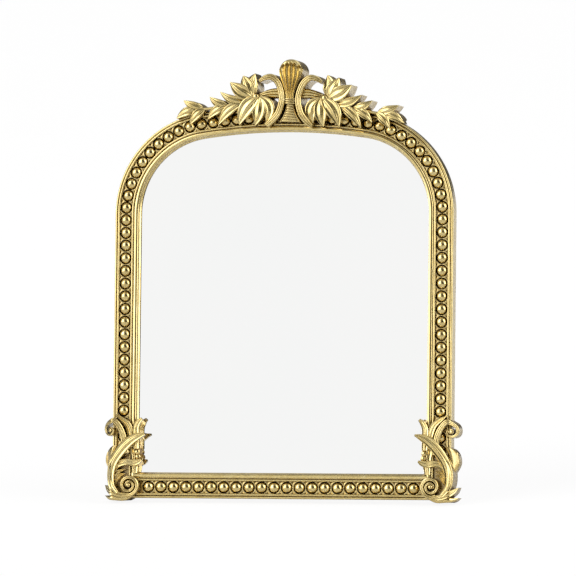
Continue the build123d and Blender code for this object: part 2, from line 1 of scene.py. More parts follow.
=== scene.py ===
import json
from math import cos, pi, radians, sin

import bmesh
import bpy
import numpy as np
from mathutils import Matrix, Vector


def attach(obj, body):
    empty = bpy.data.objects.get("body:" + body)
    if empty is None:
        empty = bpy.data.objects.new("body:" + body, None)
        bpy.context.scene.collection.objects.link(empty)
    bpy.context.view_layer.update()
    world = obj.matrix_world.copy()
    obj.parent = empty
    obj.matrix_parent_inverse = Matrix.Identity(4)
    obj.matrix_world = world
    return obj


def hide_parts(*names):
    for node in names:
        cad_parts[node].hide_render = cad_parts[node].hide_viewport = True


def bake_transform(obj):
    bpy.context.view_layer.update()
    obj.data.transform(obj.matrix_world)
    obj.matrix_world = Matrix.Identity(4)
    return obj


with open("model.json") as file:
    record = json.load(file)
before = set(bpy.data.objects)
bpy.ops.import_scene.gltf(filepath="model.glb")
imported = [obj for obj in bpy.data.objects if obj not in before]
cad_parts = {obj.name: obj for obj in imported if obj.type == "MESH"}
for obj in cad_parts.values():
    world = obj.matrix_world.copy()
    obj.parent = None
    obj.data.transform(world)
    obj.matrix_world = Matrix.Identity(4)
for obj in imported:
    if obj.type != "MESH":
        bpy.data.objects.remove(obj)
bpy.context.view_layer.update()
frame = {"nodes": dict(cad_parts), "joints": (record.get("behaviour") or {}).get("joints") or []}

# Standing table mirror with an arched gilt frame, a carved leaf crest and scrolled corner castings.
# Every surface is worked out in the flat drawing of the frame, in millimetres: X to the right,
# Y up the frame, Z forward from the frame's back face. in_frame() then leans it back as the
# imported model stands.

# Outline and moulding of the frame
frame_half_width = 150.0
frame_bottom = 2.6
shoulder_radius = 88.0
crown_radius = 509.0
spring_height = 248.5
band_width = 22.2
rim_height = 12.9
rim_width = 2.1
rim_groove_drop = 0.9
fillet_width = 1.9
outer_fillet_height = 14.0
channel_start = 4.3
channel_width = 10.6
channel_floor = 9.4
inner_fillet_height = 14.4
inner_groove_width = 0.5
inner_groove_drop = 1.3
sight_round_width = 3.6
sight_round_height = 15.0
sight_edge_height = 9.4
sight_lip_round = 0.5
round_drop = 0.9
rebate_width = 5.0
ledge_height = 8.0
board_back = 0.2
board_thickness = 3.6
board_edge = 0.4
rebate_clearance = 0.6
round_points = 9
groove_floor_drop = 0.35
groove_side_gap = 0.02
channel_wall_foot = 2.4
sight_edge_step = 0.12
sight_edge_drop = 1.35
ledge_edge = 0.8
straight_rows = 40
arch_rows = 220

# Patina and painted shade of the moulding, from 0 on clean gilding to 1 in a closed hollow:
# the grooves, the bead channel and the sight wall are darkened with patina and painted shade
side_tone = 0.35
groove_tone = 0.9
channel_wall_tone = 0.8
closed_tone = 1.0
sight_tone = 0.5
lip_tone = 0.2
sight_edge_tone = 0.6

# Beading
bead_radius = 4.6
bead_height = 4.9
bead_seat = 0.9
strip_thickness = 1.0
strip_clearance = 0.2
cup_radius = 4.75
cup_wall = 0.45
web_height = 2.3
stile_bead_count = 19
stile_bead_pitch = 11.0
arch_bead_count = 35
rail_bead_count = 22
rail_bead_pitch = 11.2
bead_rings = 7
bead_sides = 20
bead_low_latitude = radians(-14)
bead_high_latitude = radians(84)
cup_drop = 0.3
web_sag = 0.3
web_sag_start = 1.2
web_sag_end = 3.0
strip_columns = 27
strip_step = 0.42

# Crest
crest_offset = 7.0
crest_turn = radians(-1.6)
crest_front = 25.0
shell_top = 39.8
shell_half_width = 10.6
waist_half_width = 3.7
collar_top = 6.2
collar_foot = 1.2
foot_half_width = 10.0
foot_bottom = -14.2
flute_count = 5
flute_depth = 1.0
flute_deepening = 2.0
flute_patina_shade = 0.24
rim_roll_drop = 3.4
rim_roll_width = 3.2
collar_ring_count = 3
collar_ring_bulge = 0.7
foot_rib_count = 7
foot_rib_height = 0.55
foot_edge_height = 0.9

# Corner castings
corner_front = 20.0
# Painted shade held over the sunken bulge of a corner casting
bulge_shade = 0.42
corner_fall = 7.5
corner_fall_start = 148.5
corner_fall_end = 159.0
upper_volute_centre = (150.8, 60.6)
lower_volute_centre = (133.8, 13.4)

# Carving
leaf_relief = 0.075
leaf_crown = 0.5
leaf_droop = 2.2
leaf_stations = 9
leaf_skew = 0.82
leaf_fullness = 0.9
hollow_width = 1.12
hollow_power = 1.6
leaf_edge_drop = 0.55
leaf_edge_start = 0.86
dome_width = 0.97
full_width_share = 0.75
knob_rings = 6
knob_sides = 20
knob_crown_latitude = radians(80)
knob_foot_shade = 0.7
open_volute_count = 22
open_volute_power = 0.72
open_volute_width = 0.50
tight_volute_count = 44
tight_volute_taper = 0.35
arris_drop = 0.35
# Painted shade on the arris and side wall of every carved piece
painted_wall_shades = (0.30, 0.52, 0.52, 0.30)
hollow_shade = 0.35
seat_above_ledge = 0.5
seat_rise_start = 0.4
seat_rise_end = 2.2
overhang_lift = 6.5
overhang_start = 20.5
overhang_end = 24.0

# Back, strut and fastenings
hinge_height = 214.0
hinge_depth = -1.8
axis_setback = 2.0
strut_angle = radians(20.0)
strut_top_width = 42.0
strut_foot_width = 74.0
strut_thickness = 4.0
strut_corner = 5.0
strut_edge = 0.7
strut_reach = 214.3
strut_top_gap = 3.0
rivet_spacing = 22.0
rivet_setback = 15.0
leaf_thickness = 1.0
rivet_radius = 1.5
rivet_sink = 0.4
rivet_head_radius = 2.9
rivet_head_height = 0.72
stay_width = 12.0
stay_thickness = 0.6
stay_tab = 14.0
stay_board_height = 62.0
stay_reach = 156.0
button_length = 19.0
button_width = 9.0
button_thickness = 0.8
button_gap = 0.25
button_hole_radius = 1.58
button_sides = 64
screw_head_radius = 3.0
screw_head_height = 1.4
screw_shank_radius = 1.5
screw_depth = 1.0
screw_slot_depth = 0.9
screw_sides = 72
button_screw_inset = 12.0
button_stile_height = 140.0
button_rail_offset = 78.0
button_shoulder_angle = radians(48.0)

crown_swing = np.arcsin((frame_half_width - shoulder_radius) / (crown_radius - shoulder_radius))
shoulder_centre_x = frame_half_width - shoulder_radius
crown_centre_y = spring_height - (crown_radius - shoulder_radius) * cos(crown_swing)
crown_top = crown_centre_y + crown_radius
channel_end = channel_start + channel_width
bead_inset = channel_start + channel_width / 2
strip_top = channel_floor + strip_thickness
board_inset = band_width - rebate_width + rebate_clearance

MM = 0.001

# Steps of a smooth line between two of its stations
curve_steps = 24

# Metres within which points of one mesh count as one, and the shortest edge it keeps
merge_distance = 2e-6
least_edge = 1e-7


# Place of the flat drawing in the frame


def joint(name):
    """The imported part's joint of that name."""
    return next(each for each in frame["joints"] if each["name"] == name)


forward = np.array(joint("turn_button_right_stile_swivel")["axis"])
upward = np.array([0.0, forward[2], -forward[1]])
hinge_point = np.array(joint("strut_fold")["pos_m"])
flat_origin = hinge_point - MM * (hinge_height * upward + hinge_depth * forward)


def in_frame(points):
    """Flat drawing points, in millimetres, to the leaning frame, in metres: each is the drawing's
    origin plus x to the right, y up the frame and z forward. Nothing goes below the floor."""
    points = np.asarray(points, float) * MM
    right = np.array([1.0, 0.0, 0.0])
    placed = flat_origin + points[:, :1] * right + points[:, 1:2] * upward + points[:, 2:] * forward
    placed[:, 2] = np.maximum(placed[:, 2], 0.0)
    return placed


# Meshes


class Surface:
    """Points, faces and one hollow value for each point, gathered from several shapes."""

    def __init__(self):
        self.points = []
        self.faces = []
        self.hollow = []
        self.count = 0

    def add(self, points, faces, hollow):
        """Takes in one more shape, its faces numbered after the points already held."""
        points = np.asarray(points, float).reshape(-1, 3)
        self.faces.extend([[index + self.count for index in face] for face in faces])
        self.points.append(points)
        self.hollow.append(np.broadcast_to(np.asarray(hollow, float).ravel(), len(points)))
        self.count += len(points)
        return self

    def mirrored(self):
        """The same surface on the other side of the frame's centre line."""
        twin = self.moved(lambda points: points * np.array([-1.0, 1.0, 1.0]))
        twin.faces = [face[::-1] for face in self.faces]
        return twin

    def moved(self, change):
        """The same surface with each block of points put through change."""
        twin = Surface()
        twin.points = [change(points) for points in self.points]
        twin.faces = list(self.faces)
        twin.hollow = list(self.hollow)
        twin.count = self.count
        return twin


def piece(name, surface, material, slot, body, *nodes, sharp=38):
    """Closed mesh object from a surface: doubles merged, faces outward, edges sharper than sharp
    degrees left hard, riding on body and standing for nodes."""
    mesh = bpy.data.meshes.new(name)
    mesh.from_pydata(in_frame(np.concatenate(surface.points)).tolist(), [], surface.faces)
    hollow = mesh.attributes.new("hollow", "FLOAT", "POINT")
    hollow.data.foreach_set("value", np.concatenate(surface.hollow).astype(np.float32))
    work = bmesh.new()
    work.from_mesh(mesh)
    bmesh.ops.remove_doubles(work, verts=work.verts, dist=merge_distance)
    bmesh.ops.dissolve_degenerate(work, edges=work.edges, dist=least_edge)
    bmesh.ops.recalc_face_normals(work, faces=work.faces)
    work.to_mesh(mesh)
    work.free()
    mesh.materials.append(material)
    mesh.shade_smooth()
    mesh.set_sharp_from_angle(angle=radians(sharp))
    thing = bpy.data.objects.new(name, mesh)
    bpy.context.scene.collection.objects.link(thing)
    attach(thing, body)
    if nodes:
        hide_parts(*nodes)
    return thing


def ring_faces(rows, columns):
    """Quads of a tube: rows of closed loops with columns points each, and a cap on both ends."""
    row = np.arange(rows - 1)[:, None]
    column = np.arange(columns)[None, :]
    after = (column + 1) % columns
    corners = [row * columns + column, row * columns + after]
    corners += [(row + 1) * columns + after, (row + 1) * columns + column]
    quads = np.stack(corners, -1).reshape(-1, 4).tolist()
    first = list(range(columns))[::-1]
    last = list(range((rows - 1) * columns, rows * columns))
    return quads + [first, last]


def smooth_step(value, low, high):
    """Rises from 0 at low to 1 at high, level at both ends."""
    share = np.clip((value - low) / (high - low), 0.0, 1.0)
    return share * share * (3 - 2 * share)


def line_through(stations, spacing):
    """Smooth line through stations, whose rows hold x, y and any other running value: a
    Catmull-Rom curve read off at even steps along its length. Returns rows and unit headings."""
    stations = np.array(stations, float)
    ends = [2 * stations[:1] - stations[1:2], stations, 2 * stations[-1:] - stations[-2:-1]]
    knots = np.concatenate(ends)[:, None, :]
    share = np.linspace(0, 1, curve_steps, endpoint=False)[None, :, None]
    before, here, there, beyond = knots[:-3], knots[1:-2], knots[2:-1], knots[3:]
    bend = 2 * before - 5 * here + 4 * there - beyond
    swing = 3 * here - before - 3 * there + beyond
    curve = here + 0.5 * share * (there - before + share * (bend + share * swing))
    curve = np.concatenate([curve.reshape(-1, stations.shape[1]), stations[-1:]])
    steps = np.hypot(*np.diff(curve[:, :2], axis=0).T)
    travelled = np.concatenate([[0], np.cumsum(steps)])
    count = max(8, int(travelled[-1] / spacing))
    even = np.linspace(0, travelled[-1], count)
    rows = np.stack([np.interp(even, travelled, column) for column in curve.T], 1)
    heading = np.gradient(rows[:, :2], axis=0)
    return rows, heading / np.hypot(*heading.T)[:, None]


# Moulding


def half_round(start, end, foot):
    """Points of a small round in the moulding section: half an ellipse from start to end."""
    turn = np.linspace(0, pi, round_points)
    middle = (start + end) / 2
    across = middle - (end - start) / 2 * np.cos(turn)
    return np.stack([across, foot + round_drop * np.sin(turn)], 1)


def moulding_section():
    """Section of the moulding as rows of inset, depth and hollow, once round: the rim, a groove,
    the outer fillet, the bead channel, the inner fillet, a groove, the sight round and its lip,
    and the rebate."""
    fillet_start = channel_start - fillet_width
    groove = rim_height - rim_groove_drop - groove_floor_drop
    inner_end = channel_end + fillet_width
    inner_groove = inner_fillet_height - inner_groove_drop
    sight_start = inner_end + inner_groove_width
    sight_end = sight_start + sight_round_width
    lip = sight_lip_round
    gap = groove_side_gap
    wall_foot = channel_floor + channel_wall_foot

    def shade_and_patina(points, hollow):
        points = np.array(points, float).reshape(-1, 2)
        return np.column_stack([points, np.full(len(points), hollow)])

    parts = [
        shade_and_patina([(0, 0), (0, rim_height * 0.5)], side_tone),
        shade_and_patina(half_round(0, rim_width, rim_height - round_drop), 0.0),
        shade_and_patina([(rim_width + gap, groove), (fillet_start - gap, groove)], groove_tone),
        shade_and_patina(half_round(fillet_start, channel_start, outer_fillet_height - round_drop), 0.0),
        shade_and_patina([(channel_start, wall_foot)], channel_wall_tone),
        shade_and_patina([(channel_start, channel_floor), (channel_end, channel_floor)], closed_tone),
        shade_and_patina([(channel_end, wall_foot)], channel_wall_tone),
        shade_and_patina(half_round(channel_end, inner_end, inner_fillet_height - round_drop), 0.0),
        shade_and_patina([(inner_end + gap, inner_groove), (sight_start - gap, inner_groove)], groove_tone),
        shade_and_patina(half_round(sight_start, sight_end, sight_round_height - round_drop), 0.0),
        shade_and_patina([(sight_end + sight_edge_step, sight_round_height - sight_edge_drop)], sight_tone),
        shade_and_patina([(band_width - lip, sight_edge_height + lip * 0.9)], lip_tone),
        shade_and_patina([(band_width, sight_edge_height)], lip_tone),
        shade_and_patina([(band_width, ledge_height + ledge_edge)], sight_edge_tone),
        shade_and_patina([(band_width, ledge_height), (band_width - rebate_width, ledge_height)], closed_tone),
        shade_and_patina([(band_width - rebate_width, 0)], sight_tone),
    ]
    return np.concatenate(parts)


def stile_place(share, inset):
    """Point of the right stile at an inset: straight up from the mitre to the spring point."""
    foot = frame_bottom + inset
    return frame_half_width - inset, foot + share * (spring_height - foot)


def rail_place(share, inset):
    """Point of the bottom rail at an inset: straight across from the left mitre to the right one."""
    reach = frame_half_width - inset
    return (2 * share - 1) * reach, frame_bottom + inset + 0 * share


def arch_runs():
    """Lengths of a shoulder and of the crown along the middle of the bead line: radius times
    angle."""
    shoulder_run = (shoulder_radius - bead_inset) * (pi / 2 - crown_swing)
    return shoulder_run, (crown_radius - bead_inset) * 2 * crown_swing


def arch_place(share, inset):
    """Point of the arch from the right spring point to the left one: a shoulder, the crown and
    a shoulder, each an arc, with share measured along the middle of the bead line."""
    shoulder = shoulder_radius - bead_inset
    crown = crown_radius - bead_inset
    shoulder_run, crown_run = arch_runs()
    along = share * (2 * shoulder_run + crown_run)
    on_right = along < shoulder_run
    on_left = along > shoulder_run + crown_run
    right_angle = along / shoulder
    crown_angle = pi / 2 - crown_swing + (along - shoulder_run) / crown
    left_angle = pi - (2 * shoulder_run + crown_run - along) / shoulder
    angle = np.where(on_right, right_angle, np.where(on_left, left_angle, crown_angle))
    radius = np.where(on_right | on_left, shoulder_radius, crown_radius) - inset
    centre_x = np.where(on_right, shoulder_centre_x, np.where(on_left, -shoulder_centre_x, 0.0))
    centre_y = np.where(on_right | on_left, spring_height, crown_centre_y)
    return centre_x + radius * np.cos(angle), centre_y + radius * np.sin(angle)


def carried_moulding(place, rows):
    """The moulding section carried along place: at each share of the way the whole section,
    its insets measured inward and its depths forward."""
    section = moulding_section()
    share = np.linspace(0, 1, rows)[:, None]
    across, up = np.broadcast_arrays(*place(share, section[None, :, 0]))
    depth = np.broadcast_to(section[None, :, 1], across.shape)
    hollow = np.broadcast_to(section[None, :, 2], across.shape)
    points = np.stack([across, up, depth], -1)
    return Surface().add(points, ring_faces(rows, len(section)), hollow)


# Beading


def beading(place, length, centres):
    """Carved strip and its beads. The strip's top is low in a round cup about each bead centre
    and rises to a web between them that sags a little midway: height is the cup floor plus web
    height times smooth steps of the distance from the nearest centre."""
    half = channel_width / 2 - strip_clearance
    across = np.linspace(-half, half, strip_columns)
    rows = int(length / strip_step)
    share = np.linspace(0, 1, rows)[:, None]
    inset = bead_inset + across[None, :]
    x, y = np.broadcast_arrays(*place(share, inset))
    bead_x, bead_y = np.broadcast_arrays(*place(centres / length, np.full(len(centres), bead_inset)))
    nearest = np.full(x.shape, 1e9)
    for each_x, each_y in zip(bead_x, bead_y):
        nearest = np.minimum(nearest, np.hypot(x - each_x, y - each_y))
    rise = smooth_step(nearest, cup_radius, cup_radius + cup_wall)
    rise = rise * (1 - web_sag * smooth_step(nearest, cup_radius + web_sag_start, cup_radius + web_sag_end))
    top = np.stack([x, y, strip_top - cup_drop + web_height * rise], -1)
    under = np.stack([x[:, [-1, 0]], y[:, [-1, 0]], np.full((rows, 2), channel_floor)], -1)
    points = np.concatenate([top, under], 1)
    # Patina and painted shade: the strip is darkest in the cups round the beads and lighter on the webs
    hollow = np.concatenate([0.95 - 0.55 * rise, np.ones((rows, 2))], 1)
    strip = Surface().add(points, ring_faces(rows, points.shape[1]), hollow)
    return strip.add(*beads(bead_x, bead_y))


def beads(centre_x, centre_y):
    """Round beads: each ring's radius is the bead's times the cosine of its latitude and its
    height the sine, from a little below the strip to a small flat crown."""
    latitude = np.linspace(bead_low_latitude, bead_high_latitude, bead_rings)
    turn = np.linspace(0, 2 * pi, bead_sides, endpoint=False)
    ring = bead_radius * np.cos(latitude)[:, None]
    x = ring * np.cos(turn)
    y = ring * np.sin(turn)
    z = strip_top + bead_seat + (bead_height - bead_seat) * np.sin(latitude)[:, None] + 0 * x
    shape = np.stack([x, y, z], -1).reshape(-1, 3)
    # Painted shade: each bead darkens towards its foot, where it meets the strip
    dark = np.broadcast_to(1 - smooth_step(latitude, -0.1, 0.3)[:, None], x.shape).ravel()
    count = len(centre_x)
    offsets = np.stack([centre_x, centre_y, 0 * centre_x], -1)
    points = (shape[None] + offsets[:, None]).reshape(-1, 3)
    one = ring_faces(bead_rings, bead_sides)
    faces = [[index + number * len(shape) for index in face] for number in range(count) for face in one]
    return points, faces, np.tile(dark, count)


# Carving


def outline_inset(x, y):
    """How far a point lies inside the frame's outline, in millimetres; negative outside."""
    over_crown = crown_radius - np.hypot(x, y - crown_centre_y)
    beside = frame_half_width - np.abs(x)
    return np.where(y > spring_height, over_crown, np.minimum(beside, y - frame_bottom))


def seat_depth(x, y):
    """Depth to which the side walls of an ornament run back: to the wall behind where it stands
    out past the frame, into the moulding where it lies on it, and well clear of the glass where
    a tip overhangs."""
    inset = outline_inset(x, y)
    over_frame = (ledge_height + seat_above_ledge) * smooth_step(inset, seat_rise_start, seat_rise_end)
    return over_frame + overhang_lift * smooth_step(inset, overhang_start, overhang_end)


def crest_seat(x, y):
    """The same for a crest piece, drawn from the crest's own centre line."""
    placed = on_arch(np.stack([x, y, 0 * x], -1).reshape(-1, 3)).reshape(x.shape + (3,))
    return seat_depth(placed[..., 0], placed[..., 1])


def on_arch(points):
    """Crest drawing turned and moved to the top of the arch."""
    x = points[:, 0] * cos(crest_turn) - points[:, 1] * sin(crest_turn) + crest_offset
    y = points[:, 0] * sin(crest_turn) + points[:, 1] * cos(crest_turn) + crown_top
    return np.stack([x, y, points[:, 2]], 1)


def leaf_form(across):
    """Section of a leaf: 0 on the midrib and on the raised margins, -1 in the two hollows, and
    a quick fall at the very edge."""
    hollow = np.sin(pi * np.clip(np.abs(across) * hollow_width, 0, 1)) ** hollow_power
    return -hollow - leaf_edge_drop * smooth_step(np.abs(across), leaf_edge_start, 1.0)


def reed_form(count):
    """Section of a reeded band: count round reeds side by side, 0 on their crowns and -1 in
    the grooves and at both edges."""
    return lambda across: np.sqrt(np.abs(np.sin(pi * count * (across + 1) / 2))) - 1


def dome_form(across):
    """Section of a rounded lobe: a half ellipse from edge to edge, 0 on its crown."""
    return np.sqrt(np.clip(1 - (dome_width * across) ** 2, 0, 1)) - 1


def carved(stations, front, form, depth, seat, crown=0.0, swell=0.0, spacing=0.7, columns=25):
    """Carved member along stations of x, y and width. Its top is front, plus crown times one less
    the square of the distance across, plus depth times the section form, both flattened where it
    is narrow, plus swell times a half sine along its length. Its sides are walled back to seat."""
    rows, heading = line_through(stations, spacing)
    half = np.clip(rows[:, 2], 0, None) / 2
    fullness = np.clip(half / (half.max() * full_width_share), 0, 1)[:, None]
    across = np.linspace(-1, 1, columns)[None, :]
    share = np.linspace(0, 1, len(rows))[:, None]
    side = np.stack([-heading[:, 1], heading[:, 0]], 1)
    plan = rows[:, None, :2] + side[:, None, :] * (half[:, None] * across)[..., None]
    relief = form(across)
    top = front + fullness * (depth * relief + crown * (1 - across**2)) + swell * np.sin(pi * share)
    upper = np.concatenate([plan, top[..., None]], -1)
    shade = np.clip(-relief, 0, 1) ** 2 * fullness * hollow_shade + 0 * top
    return walled(upper, shade, seat)


def walled(top, shade, seat):
    """Closed piece from a grid of top points: each long side turns down over a short arris and
    runs straight back to seat as a wall; arris and wall are darkened with painted shade."""
    edges = top[:, [-1, 0]]
    low = seat(edges[..., 0], edges[..., 1])
    high = np.maximum(edges[..., 2] - arris_drop, low)
    arris = np.concatenate([edges[..., :2], high[..., None]], -1)
    foot = np.concatenate([edges[..., :2], low[..., None]], -1)
    points = np.concatenate([top, arris[:, :1], foot, arris[:, 1:]], 1)
    wall = np.broadcast_to(np.array(painted_wall_shades), (len(top), len(painted_wall_shades)))
    return points, ring_faces(len(points), points.shape[1]), np.concatenate([shade, wall], 1)


def leaf(base, tip, width, front, seat, bend):
    """Pointed leaf from base to tip: its width follows a skewed sine, its line bows sideways by
    bend times its length, and it droops by a half sine from its middle to both ends."""
    base = np.array(base, float)
    tip = np.array(tip, float)
    run = tip - base
    square = np.array([-run[1], run[0]])
    share = np.linspace(0, 1, leaf_stations)[:, None]
    line = base + run * share + square * bend * np.sin(pi * share)
    widths = width * np.sin(pi * share**leaf_skew) ** leaf_fullness
    stations = np.concatenate([line, widths], 1)
    low = front - leaf_droop
    return carved(stations, low, leaf_form, leaf_relief * width, seat, leaf_crown, leaf_droop)


def button(centre, radius, front, rise, seat):
    """Round button: rings whose radius is the cosine of a latitude and whose height is rise times
    its sine, on a straight side."""
    latitude = np.linspace(0, knob_crown_latitude, knob_rings)
    turn = np.linspace(0, 2 * pi, knob_sides, endpoint=False)
    x = centre[0] + radius * np.cos(latitude)[:, None] * np.cos(turn)
    y = centre[1] + radius * np.cos(latitude)[:, None] * np.sin(turn)
    z = front + rise * np.sin(latitude)[:, None] + 0 * x
    low = seat(x[:1], y[:1])
    x = np.concatenate([x[:1], x])
    y = np.concatenate([y[:1], y])
    z = np.concatenate([low, z])
    # Painted shade: the button darkens from its crown towards its foot
    hollow = np.concatenate([np.ones(1), np.linspace(knob_foot_shade, 0, knob_rings)])[:, None] + 0 * x
    return np.stack([x, y, z], -1), ring_faces(knob_rings + 1, knob_sides), hollow


def volute(centre, radius, angle, width):
    """Stations of x, y and width round a centre: radius times the cosine and the sine of angles
    given in degrees."""
    x = centre[0] + radius * np.cos(np.radians(angle))
    y = centre[1] + radius * np.sin(np.radians(angle))
    return np.stack([x, y, width], 1).tolist()


def open_volute(centre, start_radius, end_radius, start, sweep):
    """Volute whose turns close in: the radius is the first times the ratio of last to first,
    raised to a power of the share of the sweep, and the band's width is a share of the radius."""
    share = np.linspace(0, 1, open_volute_count)
    radius = start_radius * (end_radius / start_radius) ** (share**open_volute_power)
    return volute(centre, radius, start + sweep * share, radius * open_volute_width)


def tight_volute(centre, start_radius, end_radius, start, sweep, width):
    """Volute whose turns lie side by side: the radius falls evenly with the angle and the band
    narrows a little."""
    share = np.linspace(0, 1, tight_volute_count)
    radius = start_radius + (end_radius - start_radius) * share
    return volute(centre, radius, start + sweep * share, width * (1 - tight_volute_taper * share))


# Crest


def crest_fan():
    """Right-hand leaf fan: three leaves up and three down from one knot, each given by its base,
    tip, width, rise from the crest's front and bend."""
    upper = (33.2, 6.6)
    lower = (27.8, 7.4)
    leaves = [
        (upper, (54.0, 18.9), 12.4, -0.2, -0.05),
        (upper, (32.2, 27.0), 12.0, -1.6, -0.10),
        (upper, (42.6, 24.9), 12.6, -0.7, -0.02),
        (lower, (20.8, -15.8), 11.6, -1.8, -0.22),
        (lower, (44.4, -17.9), 13.4, -0.4, 0.10),
        (lower, (30.2, -18.0), 12.0, -0.9, -0.06),
    ]
    fan = Surface()
    for base, tip, width, rise, bend in leaves:
        fan.add(*leaf(base, tip, width, crest_front + rise, crest_seat, bend))
    return fan.add(*button((30.4, 6.9), 2.6, crest_front - 2.4, 1.5, crest_seat))


def crest_laurel():
    """Right-hand laurel spray: a curved stem with three leaves above it and four below, each given
    by its base, tip, width, rise and bend."""
    front = crest_front - 2.6
    stem = [(33.5, 4.9, 3.2), (46, 1.6, 3.2), (58, -1.8, 2.9), (70, -3.9, 2.6), (83, -5.4, 2.0)]
    leaves = [
        ((37.6, 2.8), (63.0, 10.6), 8.2, 0.6, -0.12),
        ((54.6, -1.4), (72.2, 6.0), 7.6, 0.2, -0.10),
        ((76.6, -4.4), (95.6, 2.4), 7.8, -0.2, -0.06),
        ((80.4, -5.0), (101.2, -13.4), 8.0, -0.4, 0.10),
        ((75.6, -4.2), (88.8, -18.4), 7.8, 0.0, 0.08),
        ((55.2, -1.2), (73.0, -13.4), 7.8, 0.4, 0.10),
        ((42.8, 1.8), (63.4, -18.4), 8.6, 0.6, 0.10),
    ]
    spray = Surface()
    spray.add(*carved(stem, front - 1.6, dome_form, 1.4, crest_seat, columns=13))
    for base, tip, width, rise, bend in leaves:
        spray.add(*leaf(base, tip, width, front + rise, crest_seat, bend))
    return spray


def crest_scroll():
    """Right-hand C-scroll of three reeds, with the three-reeded stalk behind it."""
    front = crest_front - 1.4
    path = [(27.6, 20.4, 3.0), (22.4, 23.6, 4.6), (16.2, 23.8, 5.4), (10.4, 17.8, 5.6)]
    path += [(7.2, 6.0, 5.6), (9.8, -6.0, 5.6), (15.4, -13.4, 5.2), (20.2, -17.6, 3.6)]
    scroll = Surface()
    scroll.add(*carved(path, front, reed_form(3), 0.75, crest_seat, 1.0, columns=31))
    stalk = [(6.5, 10.0, 8.4), (14.0, 10.6, 8.6), (21.0, 9.8, 7.0), (29.5, 7.4, 4.0)]
    scroll.add(*carved(stalk, front - 5.4, reed_form(3), 1.1, crest_seat, 1.6, columns=31))
    return scroll


def shell_half(height):
    """Half width of the shell at a height: a slow flare from the waist that runs into a round
    head."""
    centre = shell_top - shell_half_width
    neck = waist_half_width + (shell_half_width - waist_half_width) * smooth_step(
        height, collar_top + 1.0, centre + 3.0
    )
    head = np.sqrt(np.clip(shell_half_width**2 - (height - centre) ** 2, 0, None))
    return np.where(height > centre, head, np.minimum(neck, shell_half_width))


def shell_head():
    """The fluted shell: five flutes that narrow to the waist. Each flute's floor is a sine of
    the distance across; the flutes end in a scalloped line under a rolled rim."""
    rim = np.sin(np.linspace(0, pi / 2, 64))
    height = collar_top - 0.4 + (shell_top - collar_top + 0.4) * rim[:, None]
    half = shell_half(height)
    across = np.linspace(-1, 1, 61)[None, :]
    x = half * across
    y = height + 0 * x
    centre = shell_top - shell_half_width
    scallop = np.abs(np.cos(flute_count / 2 * pi * across))
    end_line = centre + 2.6 + 4.6 * np.sqrt(1 - across**2) + 1.4 * (scallop - 0.6)
    cut = 1 - smooth_step(height, end_line - 1.6, end_line + 0.5)
    flute = np.abs(np.sin(flute_count / 2 * pi * (across + 1))) ** 0.9
    to_edge = np.minimum(half * (1 - np.abs(across)), shell_top - height)
    roll = rim_roll_drop * (1 - np.sqrt(1 - (1 - np.clip(to_edge / rim_roll_width, 0, 1)) ** 2))
    in_head = smooth_step(height, centre - 4, centre + 5)
    rim_roll = roll * (0.25 + 0.75 * in_head)
    depth = (flute_depth + flute_deepening * smooth_step(height, collar_top, centre)) * flute * cut
    z = crest_front - depth - rim_roll
    # Patina and painted shade: the flutes are darkened along their floors
    return walled(np.stack([x, y, z], -1), flute * cut * flute_patina_shade, crest_seat)


def shell_collar():
    """Rounded rings round the waist: width and front swell by a half sine of the height for each
    ring, and the front is a low arc from side to side."""
    last_turn = collar_ring_count * pi
    turn = np.linspace(0, last_turn, 37)[:, None]
    height = collar_top + 0.3 - (collar_top - collar_foot + 0.5) * turn / last_turn
    bulge = collar_ring_bulge * np.abs(np.sin(turn))
    across = np.linspace(-1, 1, 21)[None, :]
    x = (waist_half_width - 0.1 + bulge) * across
    y = height + 0 * x
    z = crest_front - 2.6 + bulge + 1.5 * np.sqrt(1 - (0.96 * across) ** 2)
    # Patina and painted shade: darkest in the grooves between the rings
    hollow = np.broadcast_to(1 - np.abs(np.sin(turn)), x.shape)
    return walled(np.stack([x, y, z], -1), hollow, crest_seat)


def shell_foot():
    """The flaring foot: its half width grows with a power of the way down, worn ribs across it are
    half sines of that way, and a raised bead is a half sine of the distance from each side."""
    share = np.linspace(0, 1, 60)[:, None]
    height = collar_foot + 0.2 + (foot_bottom - collar_foot - 0.2) * share
    half = waist_half_width - 0.3 + (foot_half_width - waist_half_width + 0.3) * share**1.7
    across = np.linspace(-1, 1, 33)[None, :]
    x = half * across
    y = height + 0 * x
    rib = np.abs(np.sin(pi * foot_rib_count * share))
    inside = 1 - smooth_step(np.abs(across), 0.72, 0.8)
    edge = np.sin(pi * np.clip((np.abs(across) - 0.76) / 0.24, 0, 1))
    ribbed = crest_front - 3.6 - 1.6 * share + foot_rib_height * rib * inside
    z = ribbed + foot_edge_height * edge - 0.5 * across**2
    # Patina and painted shade: the valleys between the worn ribs and the groove inside the edge bead are
    # darkened
    hollow = 0.75 * (1 - rib) * inside + 0.6 * smooth_step(np.abs(across), 0.7, 0.76) * (1 - edge)
    return walled(np.stack([x, y, z], -1), hollow, crest_seat)


def crest_shell():
    """Shell finial: head, collar and foot."""
    return Surface().add(*shell_head()).add(*shell_collar()).add(*shell_foot())


# Corner castings


